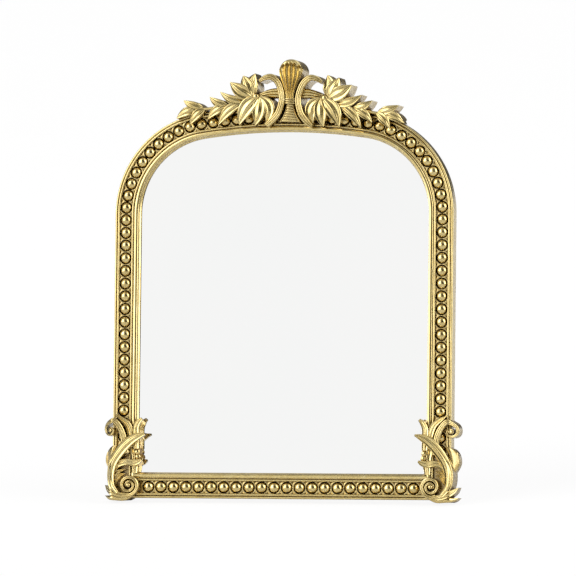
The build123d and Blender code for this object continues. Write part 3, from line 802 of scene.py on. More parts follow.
def corner_casting():
    """Right-hand corner casting: an upper and a lower volute, a long S-leaf that crosses between
    them, a tongue and a leaf tip above, three lobes beside the glass and two leaves as the foot.
    Each member is given by its stations, its rise from the front and its section."""
    casting = Surface()

    def member(stations, rise, form, depth, *swelling):
        casting.add(*carved(stations, corner_front + rise, form, depth, seat_depth, *swelling))

    def knob(centre, radius, rise, dome):
        casting.add(*button(centre, radius, corner_front + rise, dome, seat_depth))

    bulge = [(146.2, 48.0, 1.0), (151.2, 42.6, 7.0), (153.6, 35.0, 7.2), (151.8, 27.0, 4.0)]
    points, faces, hollow = carved(bulge, corner_front - 5.0, dome_form, 2.2, seat_depth)
    # Painted shade: the sunken bulge is held at a darkened tone throughout
    casting.add(points, faces, np.maximum(hollow, bulge_shade))
    body = [(129.2, 56.0, 8.0), (130.0, 46.0, 10.0), (129.4, 36.0, 8.0), (130.0, 24.0, 5.4)]
    member(body, -5.0, leaf_form, 0.8, 1.0)
    tongue = [(123.0, 71.0, 2.4), (126.0, 68.0, 4.6), (128.2, 63.0, 5.6), (128.4, 55.0, 5.8)]
    tongue += [(128.0, 45.0, 5.4)]
    member(tongue, -1.8, leaf_form, 0.6, 0.6)
    tip = [(147.8, 74.6, 0), (141.6, 71.0, 3.6), (135.6, 65.8, 5.4), (132.6, 57.6, 5.8), (131.8, 46, 5)]
    member(tip, -2.2, leaf_form, 0.6, 0.4)
    upper = [(136.2, 41.0, 4.8), (137.9, 48.4, 5.2), (139.0, 56.0, 5.2), (142.2, 63.4, 5.2)]
    upper += open_volute(upper_volute_centre, 9.2, 1.6, 114, -530)
    member(upper, -0.8, reed_form(3), 0.6, 0.7, 0.8, 0.5, 31)
    knob(upper_volute_centre, 1.9, 0.0, 1.3)
    for reach, height in ((127.8, 46.6), (127.2, 42.2), (126.6, 37.9)):
        knob((reach, height), 2.7, -4.6, 2.0)
    curl = [(149.4, 17.0, 3.6), (148.2, 24.6, 4.4), (143.6, 31.2, 5.4), (136.4, 33.4, 5.6)]
    curl += [(130.6, 32.8, 5.6), (126.0, 33.8, 5.0), (122.6, 35.4, 1.8)]
    member(curl, -1.0, leaf_form, 0.6, 0.5, 0.4)
    frond = [(149, 17.5, 3), (144.4, 24.4, 3.8), (137.0, 27.4, 0)]
    member(frond, -2.6, leaf_form, 0.5)
    frond = [(147, 14.5, 2.6), (143, 21.4, 3.4), (137.2, 23.6, 0)]
    member(frond, -3.0, leaf_form, 0.5)
    foot = [(156.8, 13.4, 0), (152.6, 9.4, 4.2), (147.0, 6.2, 5.4), (140.2, 4.4, 5.0), (133.0, 4.8, 3.6)]
    member(foot, -1.2, leaf_form, 0.6, 0.6, 0.8)
    toe = [(156.9, 4.4, 0), (152.4, 2.8, 3.6), (145.4, 2.3, 4.4), (138.0, 2.2, 4.2), (130.4, 5.2, 3.0)]
    member(toe, -2.2, dome_form, 1.6, 0.4)
    lower = tight_volute(lower_volute_centre, 8.8, 2.0, -60, -690, 3.4)
    member(lower, -0.6, reed_form(2), 0.6, 0.6, 0.9, 0.5, 25)
    knob(lower_volute_centre, 2.0, 0.2, 1.7)
    sweep = [(119.6, 57.8, 1.6), (126.0, 55.6, 6.0), (132.6, 51.8, 8.2), (139.8, 44.6, 8.6)]
    sweep += [(147.0, 34.2, 8.0), (149.8, 24.0, 7.2), (149.0, 13.4, 5.8), (143.8, 6.2, 3.8)]
    member(sweep, 0.4, leaf_form, 0.85, 0.9, 0.8)
    return casting.moved(outer_fall)


def outer_fall(points):
    """Lets the front of a casting fall away towards its outer edge: depth less a fall times a
    smooth step of the distance from the centre line, down to just above the ledge."""
    x, y, z = points.T
    fallen = z - corner_fall * smooth_step(x, corner_fall_start, corner_fall_end)
    return np.stack([x, y, np.maximum(fallen, np.minimum(z, ledge_height + 0.6))], 1)


# Back, strut and fastenings


def arch_outline(inset):
    """Points round the frame's outline moved inward by inset: over the arch from right to left,
    then the two lower corners."""
    share = np.linspace(0, 1, 120)
    x, y = arch_place(share, inset)
    low = frame_bottom + inset
    side = frame_half_width - inset
    corners = np.array([[-side, low], [side, low]])
    return np.concatenate([np.stack([x, y], 1), corners])


def shrunk(outline, by):
    """A closed outline moved inward by a distance, along the mean normal of each corner."""
    before = outline - np.roll(outline, 1, 0)
    after = np.roll(outline, -1, 0) - outline
    before = before / np.hypot(*before.T)[:, None]
    after = after / np.hypot(*after.T)[:, None]
    mean = before + after
    mean = mean / np.hypot(*mean.T)[:, None]
    return outline + by * np.stack([-mean[:, 1], mean[:, 0]], 1)


def slab(outline, low, high, edge):
    """Plate from depth low to depth high with its edges eased by edge. The outline runs
    anticlockwise seen from the front."""
    levels = [(edge, low), (edge * 0.3, low + edge * 0.3), (0, low + edge)]
    levels += [(0, high - edge), (edge * 0.3, high - edge * 0.3), (edge, high)]
    loops = []
    for inward, depth in levels:
        loop = shrunk(outline, inward)
        loops.append(np.column_stack([loop, np.full(len(loop), depth)]))
    points = np.stack(loops)
    return points, ring_faces(len(levels), len(outline)), 0.0


def turned(profile, centre, sides):
    """Solid of revolution about the depth axis through centre, from rows of radius and depth."""
    profile = np.array(profile, float)
    turn = np.linspace(0, 2 * pi, sides, endpoint=False)
    x = centre[0] + profile[:, :1] * np.cos(turn)
    y = centre[1] + profile[:, :1] * np.sin(turn)
    z = np.broadcast_to(profile[:, 1:], x.shape)
    return np.stack([x, y, z], -1), ring_faces(len(profile), sides), 0.0


def swing_out(points):
    """Strut pieces, drawn folded about the hinge axis, turned about it through the strut's angle and
    moved to its place on the board."""
    x, y, z = np.asarray(points, float).reshape(-1, 3).T
    along = y * cos(strut_angle) - z * sin(strut_angle)
    out = y * sin(strut_angle) + z * cos(strut_angle)
    return np.stack([x, along + hinge_height, out + hinge_depth], 1)


def rivet_form(across, height, surface, grip, facing):
    """Rivet head that sits grip off a surface and faces back (-1) or forward (1): a low dome
    turned about the shank, its radius by the cosine and its height by the sine."""
    latitude = np.linspace(0, radians(84), 7)
    seat = surface + facing * grip
    height_out = facing * rivet_head_height
    profile = [(rivet_radius, surface - facing * rivet_sink), (rivet_radius, seat)]
    profile += [(rivet_head_radius * cos(turn), seat + height_out * sin(turn)) for turn in latitude]
    return turned(profile, (across, height), 28)


def screw_form(centre):
    """Pan head with a cross recess: a dome whose depth drops in two crossed slots."""
    seat = -(2 * button_gap + button_thickness)
    latitude = np.linspace(0, radians(90), 15)
    turn = np.linspace(0, 2 * pi, screw_sides, endpoint=False)
    radius = (screw_head_radius * np.cos(latitude) ** 0.8)[:, None]
    x = radius * np.cos(turn)
    y = radius * np.sin(turn)
    dome = screw_head_height * np.sin(latitude)[:, None]
    slot_x = 1 - smooth_step(np.abs(x), 0.22, 0.42)
    slot_y = 1 - smooth_step(np.abs(y), 0.22, 0.42)
    reach = 1 - smooth_step(radius + 0 * x, 1.5, 1.9)
    cut = np.maximum(slot_x, slot_y) * reach
    z = seat - dome + screw_slot_depth * cut
    points = np.stack([x + centre[0], y + centre[1], z], -1)
    across = screw_shank_radius * np.cos(turn)
    up = screw_shank_radius * np.sin(turn)
    shank = np.stack([across, up, 0 * turn + screw_depth], -1)
    neck = np.stack([across, up, 0 * turn + seat], -1)
    low = np.stack([shank, neck]) + np.array([centre[0], centre[1], 0])
    points = np.concatenate([low, points])
    hollow = np.concatenate([np.ones((2, screw_sides)), cut])
    return points, ring_faces(len(points), screw_sides), hollow


def button_form(centre, heading):
    """Stamped turn button: a stadium with a hole for its screw. Each point lies between the
    hole's edge and the outline, and the edges of both are rolled back a little."""
    half = button_width / 2
    far = button_length - 2 * half
    sides = button_sides
    turn = np.linspace(0, 2 * pi, sides, endpoint=False)
    outer = np.stack([half * np.cos(turn) + np.where(np.cos(turn) > 0, far, 0), half * np.sin(turn)], -1)
    inner = button_hole_radius * np.stack([np.cos(turn), np.sin(turn)], -1)
    front = -button_gap
    back = front - button_thickness
    loops = [(0.0, front), (1.0, front), (1.0, back + 0.3), (0.96, back), (0.04, back), (0.0, back + 0.15)]
    plan = [inner + (outer - inner) * share for share, depth in loops]
    rows = [np.column_stack([row, np.full(sides, depth)]) for row, (share, depth) in zip(plan, loops)]
    points = np.stack(rows)
    x = points[..., 0] * cos(heading) - points[..., 1] * sin(heading) + centre[0]
    y = points[..., 0] * sin(heading) + points[..., 1] * cos(heading) + centre[1]
    points = np.stack([x, y, points[..., 2]], -1)
    faces = ring_faces(len(loops), sides)[:-2]
    last = (len(loops) - 1) * sides
    faces += [[last + i, last + (i + 1) % sides, (i + 1) % sides, i] for i in range(sides)]
    return points, faces, 0.0


def button_places():
    """Screw point and inward heading of each turn button."""
    inset = button_screw_inset
    side = frame_half_width - inset
    radius = shoulder_radius - inset
    x = shoulder_centre_x + radius * cos(button_shoulder_angle)
    y = spring_height + radius * sin(button_shoulder_angle)
    return {
        "right_stile": ((side, button_stile_height), pi),
        "left_stile": ((-side, button_stile_height), 0.0),
        "right_shoulder": ((x, y), pi + button_shoulder_angle),
        "left_shoulder": ((-x, y), -button_shoulder_angle),
        "right_rail": ((button_rail_offset, frame_bottom + inset), pi / 2),
        "left_rail": ((-button_rail_offset, frame_bottom + inset), pi / 2),
    }


def strut_form():
    """Tapered easel strut, drawn folded about the hinge axis, long enough to reach the floor: a
    plate with straight sides and both upper corners a quarter round."""
    top = strut_top_width / 2
    foot = top + (strut_foot_width / 2 - top) * strut_reach / hinge_height
    turn = np.linspace(0, pi / 2, 8)
    corner = strut_corner
    corner_x = top - corner + corner * np.cos(turn)
    corner_y = -strut_top_gap - corner + corner * np.sin(turn)
    right = np.stack([corner_x, corner_y], 1)
    left = right[::-1] * np.array([-1, 1])
    outline = np.concatenate([right, left, [[-foot, -strut_reach], [foot, -strut_reach]]])
    front = -axis_setback
    return slab(outline, front - strut_thickness, front, strut_edge)


def stay_form():
    """Cloth stay as a ribbon: a tab on the board, a taut span and a tab on the strut, its bends
    eased by averaging each point with its neighbours. Returns its points and faces in the flat
    drawing and the length of its centre line."""
    lift = stay_thickness / 2

    def on_strut(reach, off):
        point = swing_out([[0, -reach, -axis_setback + off]])[0]
        return point[1], point[2]

    board = board_back - lift
    corners = [(stay_board_height + stay_tab, board), (stay_board_height + 1.0, board)]
    corners += [on_strut(stay_reach - 1.0, lift), on_strut(stay_reach - stay_tab, lift)]
    sections = [np.linspace(corners[i], corners[i + 1], 26)[:-1] for i in range(3)]
    path = np.concatenate(sections + [np.array([corners[3]])])
    for _ in range(3):
        path[1:-1] = (path[:-2] + 2 * path[1:-1] + path[2:]) / 4
    heading = np.gradient(path, axis=0)
    heading = heading / np.hypot(*heading.T)[:, None]
    normal = np.stack([-heading[:, 1], heading[:, 0]], 1)
    half = stay_width / 2
    corner_x = np.array([-half, -half + 0.2, half - 0.2, half, half - 0.2, -half + 0.2])
    corner_off = np.array([0, 1, 1, 0, -1, -1]) * (lift - 0.03)
    off = path[:, None] + normal[:, None] * corner_off[None, :, None]
    x = np.broadcast_to(corner_x[None, :, None], off.shape[:2] + (1,))
    points = np.concatenate([x, off], -1)
    length = np.hypot(*np.diff(path, axis=0).T).sum()
    return points, ring_faces(len(path), 6), length


# Materials


class Nodes:
    """A node tree, with short calls for the nodes used here."""

    def __init__(self, tree):
        self.tree = tree

    def node(self, kind, **settings):
        node = self.tree.nodes.new(kind)
        for key, value in settings.items():
            setattr(node, key, value)
        return node

    def link(self, source, socket):
        self.tree.links.new(source, socket)

    def fill(self, socket, value):
        """Sets a socket to a number or a colour, or links a source to it."""
        if isinstance(value, (int, float)):
            socket.default_value = value
        elif isinstance(value, tuple):
            socket.default_value = (*value, 1)
        else:
            self.link(value, socket)

    def math(self, operation, first, second=None, clamp=False):
        node = self.node("ShaderNodeMath", operation=operation, use_clamp=clamp)
        self.fill(node.inputs[0], first)
        if second is not None:
            self.fill(node.inputs[1], second)
        return node.outputs["Value"]

    def spread(self, value, low, high, to_low, to_high):
        """Value carried from low and high to to_low and to_high by a smooth step."""
        node = self.node("ShaderNodeMapRange", interpolation_type="SMOOTHSTEP")
        for key, number in zip(("From Min", "From Max", "To Min", "To Max"), (low, high, to_low, to_high)):
            node.inputs[key].default_value = number
        self.link(value, node.inputs["Value"])
        return node.outputs["Result"]


class Shades(Nodes):
    """Node tree of one material, read on Object coordinates."""

    def __init__(self, name):
        self.material = bpy.data.materials.new(name)
        self.material.use_nodes = True
        super().__init__(self.material.node_tree)
        self.finish = self.tree.nodes["Principled BSDF"]
        self.place = self.node("ShaderNodeTexCoord").outputs["Object"]

    def set(self, **values):
        """Gives the shader's own sockets constant values."""
        for key, value in values.items():
            self.finish.inputs[key.replace("_", " ")].default_value = value

    def feed(self, **sources):
        """Links sources to the shader's sockets."""
        for key, source in sources.items():
            self.link(source, self.finish.inputs[key.replace("_", " ")])

    def noise(self, scale, detail=2.0, roughness=0.5):
        node = self.node("ShaderNodeTexNoise")
        node.inputs["Scale"].default_value = scale
        node.inputs["Detail"].default_value = detail
        node.inputs["Roughness"].default_value = roughness
        self.link(self.place, node.inputs["Vector"])
        return node.outputs["Fac"]

    def ramp(self, value, stops):
        """Colour ramp through stops of position and colour."""
        node = self.node("ShaderNodeValToRGB")
        elements = node.color_ramp.elements
        while len(elements) < len(stops):
            elements.new(0.5)
        for element, (position, colour) in zip(elements, stops):
            element.position = position
            element.color = (*colour, 1)
        self.link(value, node.inputs["Fac"])
        return node.outputs["Color"]

    def mix(self, factor, first, second, blend_type="MIX"):
        """First to second by factor, or the two colours blended another way."""
        node = self.node("ShaderNodeMix", data_type="RGBA", blend_type=blend_type)
        self.fill(node.inputs["Factor"], factor)
        colours = [each for each in node.inputs if each.type == "RGBA"]
        self.fill(colours[0], first)
        self.fill(colours[1], second)
        return next(each for each in node.outputs if each.type == "RGBA")

    def bump(self, height, strength, distance, after=None):
        node = self.node("ShaderNodeBump")
        node.inputs["Strength"].default_value = strength
        node.inputs["Distance"].default_value = distance
        self.link(height, node.inputs["Height"])
        if after is not None:
            self.link(after, node.inputs["Normal"])
        return node.outputs["Normal"]


bright_gold = (0.68, 0.52, 0.175)
warm_gold = (0.60, 0.44, 0.13)
pale_gold = (0.75, 0.61, 0.26)
patina_and_shade_gold = (0.24, 0.14, 0.028)
painted_recess_shade = (0.050, 0.021, 0.004)
hollow_weight = 0.66
occlusion_shade_weight = 0.80
occlusion_shade_distance = 0.0032
lacquer_weight = 0.9


def gilding(name, gloss, grain, wave):
    """Worn gilding: gold that varies from warm to pale over a few millimetres, brown patina and
    painted shade in the hollows by the hollow attribute, painted shade by how shut-in a point is,
    lacquer where it is clean, a fine cast grain, and a slow hand-worked unevenness."""
    shades = Shades(name)
    patches = shades.noise(95, 4.0, 0.6)
    gold = shades.ramp(patches, [(0.30, warm_gold), (0.52, bright_gold), (0.74, pale_gold)])
    hollow = shades.node("ShaderNodeAttribute", attribute_name="hollow").outputs["Fac"]
    # Painted shade: ambient occlusion darkens the gold where nearby surfaces shut a point in
    shut = shades.node("ShaderNodeAmbientOcclusion", samples=6, only_local=False)
    shut.inputs["Distance"].default_value = occlusion_shade_distance
    closed = shades.spread(shut.outputs["AO"], 0.15, 0.70, 1.0, 0.0)
    smear = shades.spread(shades.noise(420, 3.0), 0.35, 0.70, -0.06, 0.07)
    # Patina and painted shade: hollows and shut-in points turn to a darker old gold, with a random smear
    shade_and_patina = shades.math("MULTIPLY", hollow, hollow_weight)
    shade_and_patina = shades.math("MAXIMUM", shade_and_patina, shades.math("MULTIPLY", closed, occlusion_shade_weight))
    shade_and_patina = shades.math("ADD", shade_and_patina, smear, True)
    middle = shades.mix(shades.spread(shade_and_patina, 0.10, 0.55, 0.0, 1.0), gold, patina_and_shade_gold)
    # Painted shade: the most shut-in hollows run to a near-black brown
    colour = shades.mix(shades.spread(shade_and_patina, 0.50, 0.95, 0.0, 1.0), middle, painted_recess_shade)
    rough = shades.spread(shades.noise(260, 3.0), 0.3, 0.7, gloss - 0.03, gloss + 0.05)
    rough = shades.math("ADD", rough, shades.math("MULTIPLY", shade_and_patina, 0.40))
    slow = shades.bump(shades.noise(75, 1.0), wave, 0.0009)
    fine = shades.bump(shades.noise(1500, 3.0, 0.65), grain, 0.00012, slow)
    lacquer = shades.math("MULTIPLY", shades.math("SUBTRACT", 1.0, shade_and_patina, True), lacquer_weight)
    shades.feed(Base_Color=colour, Roughness=rough, Normal=fine, Coat_Weight=lacquer)
    shades.set(Metallic=1.0, Coat_Roughness=0.13, Coat_IOR=1.9)
    return shades.material


def silvering():
    """Silvered glass: a near-perfect reflector with the faintest green-grey cast, and a trace of
    unevenness far below what the eye resolves."""
    shades = Shades("silvered_glass")
    tint = shades.ramp(shades.noise(6, 1.0), [(0.3, (0.905, 0.91, 0.905)), (0.7, (0.915, 0.915, 0.91))])
    rough = shades.spread(shades.noise(30, 2.0), 0.3, 0.7, 0.010, 0.016)
    shades.feed(Base_Color=tint, Roughness=rough)
    shades.set(Metallic=1.0)
    return shades.material


def flocked(name, tone, pile):
    """Short-pile flock on board: near-black fibre with a soft sheen, a fine nap and slow
    patches where it was brushed."""
    shades = Shades(name)
    low = tuple(part * 0.65 for part in tone)
    high = tuple(part * 1.6 for part in tone)
    colour = shades.ramp(shades.noise(1400, 4.0, 0.7), [(0.30, low), (0.55, tone), (0.80, high)])
    brushed = shades.ramp(shades.noise(28, 3.0), [(0.35, (0.72, 0.72, 0.72)), (0.7, (1.0, 1.0, 1.0))])
    rough = shades.spread(shades.noise(90, 2.0), 0.3, 0.7, 0.86, 0.97)
    nap = shades.bump(shades.noise(2200, 3.0, 0.7), 0.55, pile)
    shades.feed(Base_Color=shades.mix(1.0, colour, brushed, "MULTIPLY"), Roughness=rough, Normal=nap)
    shades.set(Sheen_Weight=0.28, Sheen_Roughness=0.45)
    return shades.material


def plated(name, tone, worn, gloss):
    """Plated sheet metal: brushed along the frame, with faint stains."""
    shades = Shades(name)
    stretch = shades.node("ShaderNodeMapping")
    stretch.inputs["Scale"].default_value = (1.0, 0.06, 0.06)
    shades.link(shades.place, stretch.inputs["Vector"])
    lines = shades.node("ShaderNodeTexNoise")
    lines.inputs["Scale"].default_value = 5200
    lines.inputs["Detail"].default_value = 3.0
    shades.link(stretch.outputs["Vector"], lines.inputs["Vector"])
    colour = shades.ramp(shades.noise(140, 4.0), [(0.32, worn), (0.60, tone)])
    rough = shades.spread(lines.outputs["Fac"], 0.3, 0.7, gloss - 0.05, gloss + 0.10)
    brushing = shades.bump(lines.outputs["Fac"], 0.18, 0.00003)
    shades.feed(Base_Color=colour, Roughness=rough, Normal=brushing)
    shades.set(Metallic=1.0)
    return shades.material


def paper():
    """Grey-brown liner paper with a fine tooth."""
    shades = Shades("liner_paper")
    colour = shades.ramp(shades.noise(900, 4.0), [(0.3, (0.30, 0.26, 0.20)), (0.7, (0.40, 0.35, 0.27))])
    shades.feed(Base_Color=colour, Normal=shades.bump(shades.noise(1600, 3.0), 0.3, 0.00005))
    shades.set(Roughness=0.9)
    return shades.material


def woven_tape():
    """Black cotton tape: a plain weave from two crossed waves along the tape's own UV map."""
    shades = Shades("stay_tape")
    across_map = shades.node("ShaderNodeUVMap", uv_map="tape").outputs["UV"]
    split = shades.node("ShaderNodeSeparateXYZ")
    shades.link(across_map, split.inputs["Vector"])
    thread_pitch = 0.0006
    warp = shades.math("SINE", shades.math("MULTIPLY", split.outputs["X"], 2 * pi / thread_pitch))
    weft = shades.math("SINE", shades.math("MULTIPLY", split.outputs["Y"], 2 * pi / thread_pitch))
    weave = shades.math("MULTIPLY", warp, weft)
    blacks = [(0.2, (0.012, 0.011, 0.011)), (0.9, (0.05, 0.047, 0.045))]
    colour = shades.ramp(shades.spread(weave, -1, 1, 0, 1), blacks)
    shades.feed(Base_Color=colour, Normal=shades.bump(weave, 0.6, 0.00012))
    shades.set(Roughness=0.85, Sheen_Weight=0.3)
    return shades.material


# Studio


def heading_of(azimuth, elevation):
    """Unit vector towards an azimuth, measured from straight in front, and an elevation."""
    turn = radians(azimuth)
    lift = radians(elevation)
    return Vector((cos(lift) * sin(turn), -cos(lift) * cos(turn), sin(lift)))


def studio_world():
    """White to the camera and along the glass's own reflection; to everything else a plain
    studio: a dim surround, two broad upright light panels, three faint ones and a dark gap about
    the camera."""
    world = bpy.data.worlds.new("studio")
    bpy.context.scene.world = world
    world.use_nodes = True
    world.node_tree.nodes.clear()
    sky = Nodes(world.node_tree)
    look = sky.node("ShaderNodeTexCoord").outputs["Generated"]

    def towards(direction):
        node = sky.node("ShaderNodeVectorMath", operation="DOT_PRODUCT")
        sky.link(look, node.inputs[0])
        node.inputs[1].default_value = direction
        return node.outputs["Value"]

    def patch(azimuth, elevation, half_width, half_height, soft):
        """1 inside an oval of directions and 0 outside it, with a soft rim."""
        middle = heading_of(azimuth, elevation)
        side = Vector((cos(radians(azimuth)), sin(radians(azimuth)), 0))
        rise = middle.cross(side)
        across = sky.math("DIVIDE", towards(side), sin(radians(half_width)))
        along = sky.math("DIVIDE", towards(rise), sin(radians(half_height)))
        squares = sky.math("ADD", sky.math("POWER", across, 2), sky.math("POWER", along, 2))
        oval = sky.spread(sky.math("SQRT", squares), 1 - soft, 1 + soft, 1, 0)
        return sky.math("MULTIPLY", oval, sky.math("GREATER_THAN", towards(middle), 0.0))

    level = sky.node("ShaderNodeValue").outputs["Value"]
    level.default_value = surround_level
    for azimuth, elevation, half_width, half_height, soft, strength in light_panels:
        part = sky.math("MULTIPLY", patch(azimuth, elevation, half_width, half_height, soft), strength)
        level = sky.math("ADD", level, part)
    dark = sky.math("MULTIPLY", patch(*camera_gap), camera_gap_depth)
    level = sky.math("MULTIPLY", level, sky.math("SUBTRACT", 1.0, dark))
    path = sky.node("ShaderNodeLightPath").outputs
    seen = sky.math("MAXIMUM", path["Is Glossy Ray"], path["Is Transmission Ray"])
    seen = sky.math("MULTIPLY", seen, patch(*glass_view))
    seen = sky.math("MAXIMUM", path["Is Camera Ray"], seen)
    strength = sky.math("ADD", sky.math("MULTIPLY", level, sky.math("SUBTRACT", 1.0, seen)), seen)
    light = sky.node("ShaderNodeBackground")
    sky.link(strength, light.inputs["Strength"])
    light.inputs["Color"].default_value = (1, 1, 1, 1)
    sky.link(light.outputs["Background"], sky.node("ShaderNodeOutputWorld").inputs["Surface"])


def studio_floor():
    """Pale floor: nearly white to the camera, with the object's shadow kept, and a plain pale
    diffuse surface to everything else."""
    bpy.ops.mesh.primitive_plane_add(size=24.0, location=(0, 0, -0.0002))
    floor = bpy.context.object
    floor.name = "studio_floor"
    shades = Shades("studio_floor")
    tone = shades.ramp(shades.noise(3, 1.0), [(0.3, (0.80, 0.80, 0.80)), (0.7, (0.82, 0.82, 0.82))])
    shades.feed(Base_Color=tone)
    shades.set(Roughness=0.9, Specular_IOR_Level=0.0)
    glow = shades.node("ShaderNodeEmission")
    glow.inputs["Strength"].default_value = floor_glow
    blend = shades.node("ShaderNodeMixShader")
    path = shades.node("ShaderNodeLightPath")
    shown = shades.math("MULTIPLY", path.outputs["Is Camera Ray"], floor_glow_share)
    shades.link(shown, blend.inputs["Fac"])
    shades.link(shades.finish.outputs["BSDF"], blend.inputs[1])
    shades.link(glow.outputs["Emission"], blend.inputs[2])
    shades.link(blend.outputs["Shader"], shades.tree.nodes["Material Output"].inputs["Surface"])
    floor.data.materials.append(shades.material)


def area_lamp(name, azimuth, elevation, distance, size, power):
    """Soft square lamp at a heading and distance from the middle of the object, facing it."""
    lamp = bpy.data.lights.new(name, "AREA")
    lamp.energy = power
    lamp.size = size
    thing = bpy.data.objects.new(name, lamp)
    bpy.context.scene.collection.objects.link(thing)
    direction = heading_of(azimuth, elevation)
    thing.location = lamp_aim + direction * distance
    thing.rotation_euler = direction.to_track_quat("Z", "Y").to_euler()


# Camera in degrees, metres and, for the lens and sensor, millimetres
camera_azimuth = 14.10
camera_elevation = 7.12
camera_distance = 6.0
camera_lens = 434.6
camera_sensor = 36.0
camera_reach = 100.0
camera_aim = Vector((0.0018, 0.0, 0.1815))

# Studio lights: a patch is azimuth, elevation, half width and half height in degrees, and the
# softness of its rim; a panel has its strength as well
lamp_aim = Vector((0, 0, 0.18))
floor_glow = 1.04
floor_glow_share = 0.86
surround_level = 0.07
light_panels = [
    (-52, 18, 22, 36, 0.30, 3.6),
    (78, 22, 22, 36, 0.30, 3.6),
    (-16, 12.6, 15, 20, 0.35, 0.75),
    (20, 88, 34, 34, 0.4, 0.35),
    (190, 44, 40, 30, 0.4, 0.4),
]
camera_gap = (17, -10, 18, 28, 0.4)
camera_gap_depth = 0.72
glass_view = (-14, 12.6, 10, 14, 0.4)


def studio_camera():
    """Camera at the photograph's angle, its picture upright across the bottom rail."""
    camera = bpy.data.cameras.new("camera")
    camera.lens = camera_lens
    camera.sensor_width = camera_sensor
    camera.clip_end = camera_reach
    thing = bpy.data.objects.new("camera", camera)
    bpy.context.scene.collection.objects.link(thing)
    back = heading_of(camera_azimuth, camera_elevation)
    right = (Vector((1, 0, 0)) - back * back.x).normalized()
    up = back.cross(right)
    turn = Matrix((right, up, back)).transposed()
    thing.matrix_world = Matrix.Translation(camera_aim + back * camera_distance) @ turn.to_4x4()
    bpy.context.scene.camera = thing


# Assembly


def dress_moulding(gilt_wood):
    stile = carried_moulding(stile_place, straight_rows)
    lengths = {
        "right_stile": stile,
        "left_stile": stile.mirrored(),
        "bottom_rail": carried_moulding(rail_place, straight_rows),
        "arch": carried_moulding(arch_place, arch_rows),
    }
    for name, moulding in lengths.items():
        piece("gilt_" + name, moulding, gilt_wood, "gilt_wood", "frame", name + "_moulding")


def stile_bead_place(share, inset):
    """The right stile read downward from the spring point, for its beading."""
    foot = frame_bottom + inset
    return frame_half_width - inset, spring_height - share * (spring_height - foot)


def dress_beading(gilt_bead):
    stile_length = spring_height - frame_bottom - bead_inset
    down = (np.arange(stile_bead_count) + 0.5) * stile_bead_pitch
    stile = beading(stile_bead_place, stile_length, down)
    rail_length = 2 * (frame_half_width - bead_inset)
    from_middle = np.arange(rail_bead_count) - (rail_bead_count - 1) / 2
    along = rail_length / 2 + from_middle * rail_bead_pitch
    shoulder_run, crown_run = arch_runs()
    arch_length = 2 * shoulder_run + crown_run
    round_arch = (np.arange(arch_bead_count) + 0.5) * arch_length / arch_bead_count
    strips = {
        "right_stile": stile,
        "left_stile": stile.mirrored(),
        "bottom_rail": beading(rail_place, rail_length, along),
        "arch": beading(arch_place, arch_length, round_arch),
    }
    for name, strip in strips.items():
        piece("beaded_" + name, strip, gilt_bead, "gilt_bead", "frame", name + "_beading")


def dress_ornament(gilt_ornament):
    crest = {"leaf_fan": crest_fan(), "laurel_spray": crest_laurel(), "scroll": crest_scroll()}
    castings = {"shell_finial": crest_shell().moved(on_arch)}
    for name, right in crest.items():
        castings["right_crest_" + name] = right.moved(on_arch)
        castings["left_crest_" + name] = right.mirrored().moved(on_arch)
    castings["right_corner_casting"] = corner_casting()
    castings["left_corner_casting"] = castings["right_corner_casting"].mirrored()
    for node, casting in castings.items():
        piece("carved_" + node, casting, gilt_ornament, "gilt_ornament", "frame", node)


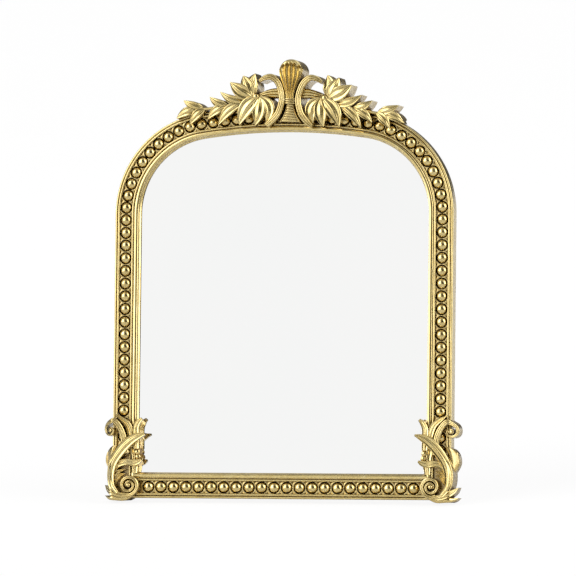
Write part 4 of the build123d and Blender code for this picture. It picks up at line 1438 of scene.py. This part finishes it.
def dress_back(flock, brass, steel):
    board_front = board_back + board_thickness
    board = Surface().add(*slab(arch_outline(board_inset), board_back, board_front, board_edge))
    piece("flocked_backing_board", board, flock, "flock", "frame", "backing_board")
    strut = Surface().add(*strut_form()).moved(swing_out)
    piece("flocked_strut", strut, flock, "flock", "strut", "strut")
    screws = Surface()
    for name, (point, heading) in button_places().items():
        blank = Surface().add(*button_form(point, heading))
        node = "turn_button_" + name
        piece("stamped_" + node, blank, brass, "brassed_steel", node, node)
        screws.add(*screw_form(point))
    piece("pan_head_screws", screws, brass, "brassed_steel", "frame", "turn_button_screws")
    rivets = Surface()
    for across in (-rivet_spacing / 2, rivet_spacing / 2):
        rivets.add(*rivet_form(across, hinge_height + rivet_setback, board_back, leaf_thickness, -1))
    rivets.add(*rivet_form(0, stay_board_height + stay_tab / 2, board_back, stay_thickness, -1))
    piece("domed_board_rivets", rivets, steel, "steel", "frame", "board_rivets")
    rivets = Surface()
    for across in (-rivet_spacing / 2, rivet_spacing / 2):
        rivets.add(*rivet_form(across, -rivet_setback, -axis_setback, leaf_thickness, 1))
    rivets.add(*rivet_form(0, -stay_reach + stay_tab / 2, -axis_setback, stay_thickness, 1))
    piece("domed_strut_rivets", rivets.moved(swing_out), steel, "steel", "strut", "strut_rivets")


def dress_stay():
    """The cloth stay, bent between the frame and the strut, with a UV map in metres: across the
    tape and along it."""
    points, faces, length = stay_form()
    surface = Surface().add(points, faces, 0.0)
    tape = piece("cloth_stay_ribbon", surface, woven_tape(), "stay_cloth", "frame", "stay_ribbon", sharp=70)
    mesh = tape.data
    place = np.zeros(len(mesh.vertices) * 3, np.float32)
    mesh.vertices.foreach_get("co", place)
    corner = np.zeros(len(mesh.loops), np.int32)
    mesh.loops.foreach_get("vertex_index", corner)
    place = place.reshape(-1, 3)[corner]
    uv = mesh.uv_layers.new(name="tape")
    uv.data.foreach_set("uv", np.stack([place[:, 0], place[:, 1]], 1).ravel())
    middle = in_frame([[0, stay_board_height, board_back]])[0]
    far = in_frame(swing_out([[0, -stay_reach, -axis_setback]]))[0]
    tape.parent = None
    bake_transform(tape)


def repaint(nodes, material):
    """Gives carried-over nodes a finish through their material slots."""
    for name in nodes:
        node = frame["nodes"][name]
        for slot in node.material_slots:
            slot.material = material


def main():
    scene = bpy.context.scene
    scene.view_settings.view_transform = "Standard"
    studio_camera()
    studio_world()
    studio_floor()
    area_lamp("key", -50, 50, 2.6, 1.4, 4.0)
    area_lamp("fill", 160, 45, 2.6, 1.4, 6.0)
    dress_moulding(gilding("gilt_wood", 0.20, 0.03, 0.08))
    dress_beading(gilding("gilt_bead", 0.19, 0.03, 0.06))
    dress_ornament(gilding("gilt_ornament", 0.22, 0.03, 0.10))
    brass = plated("brassed_steel", (0.72, 0.56, 0.28), (0.55, 0.42, 0.20), 0.30)
    steel = plated("zinc_steel", (0.62, 0.62, 0.60), (0.48, 0.47, 0.45), 0.34)
    dress_back(flocked("black_flock", (0.020, 0.018, 0.018), 0.00016), brass, steel)
    dress_stay()
    repaint(["mirror_glass"], silvering())
    repaint(["glass_liner"], paper())
    repaint(["hinge_board_leaf", "hinge_strut_leaf"], brass)
    repaint(["hinge_pin"], steel)


main()
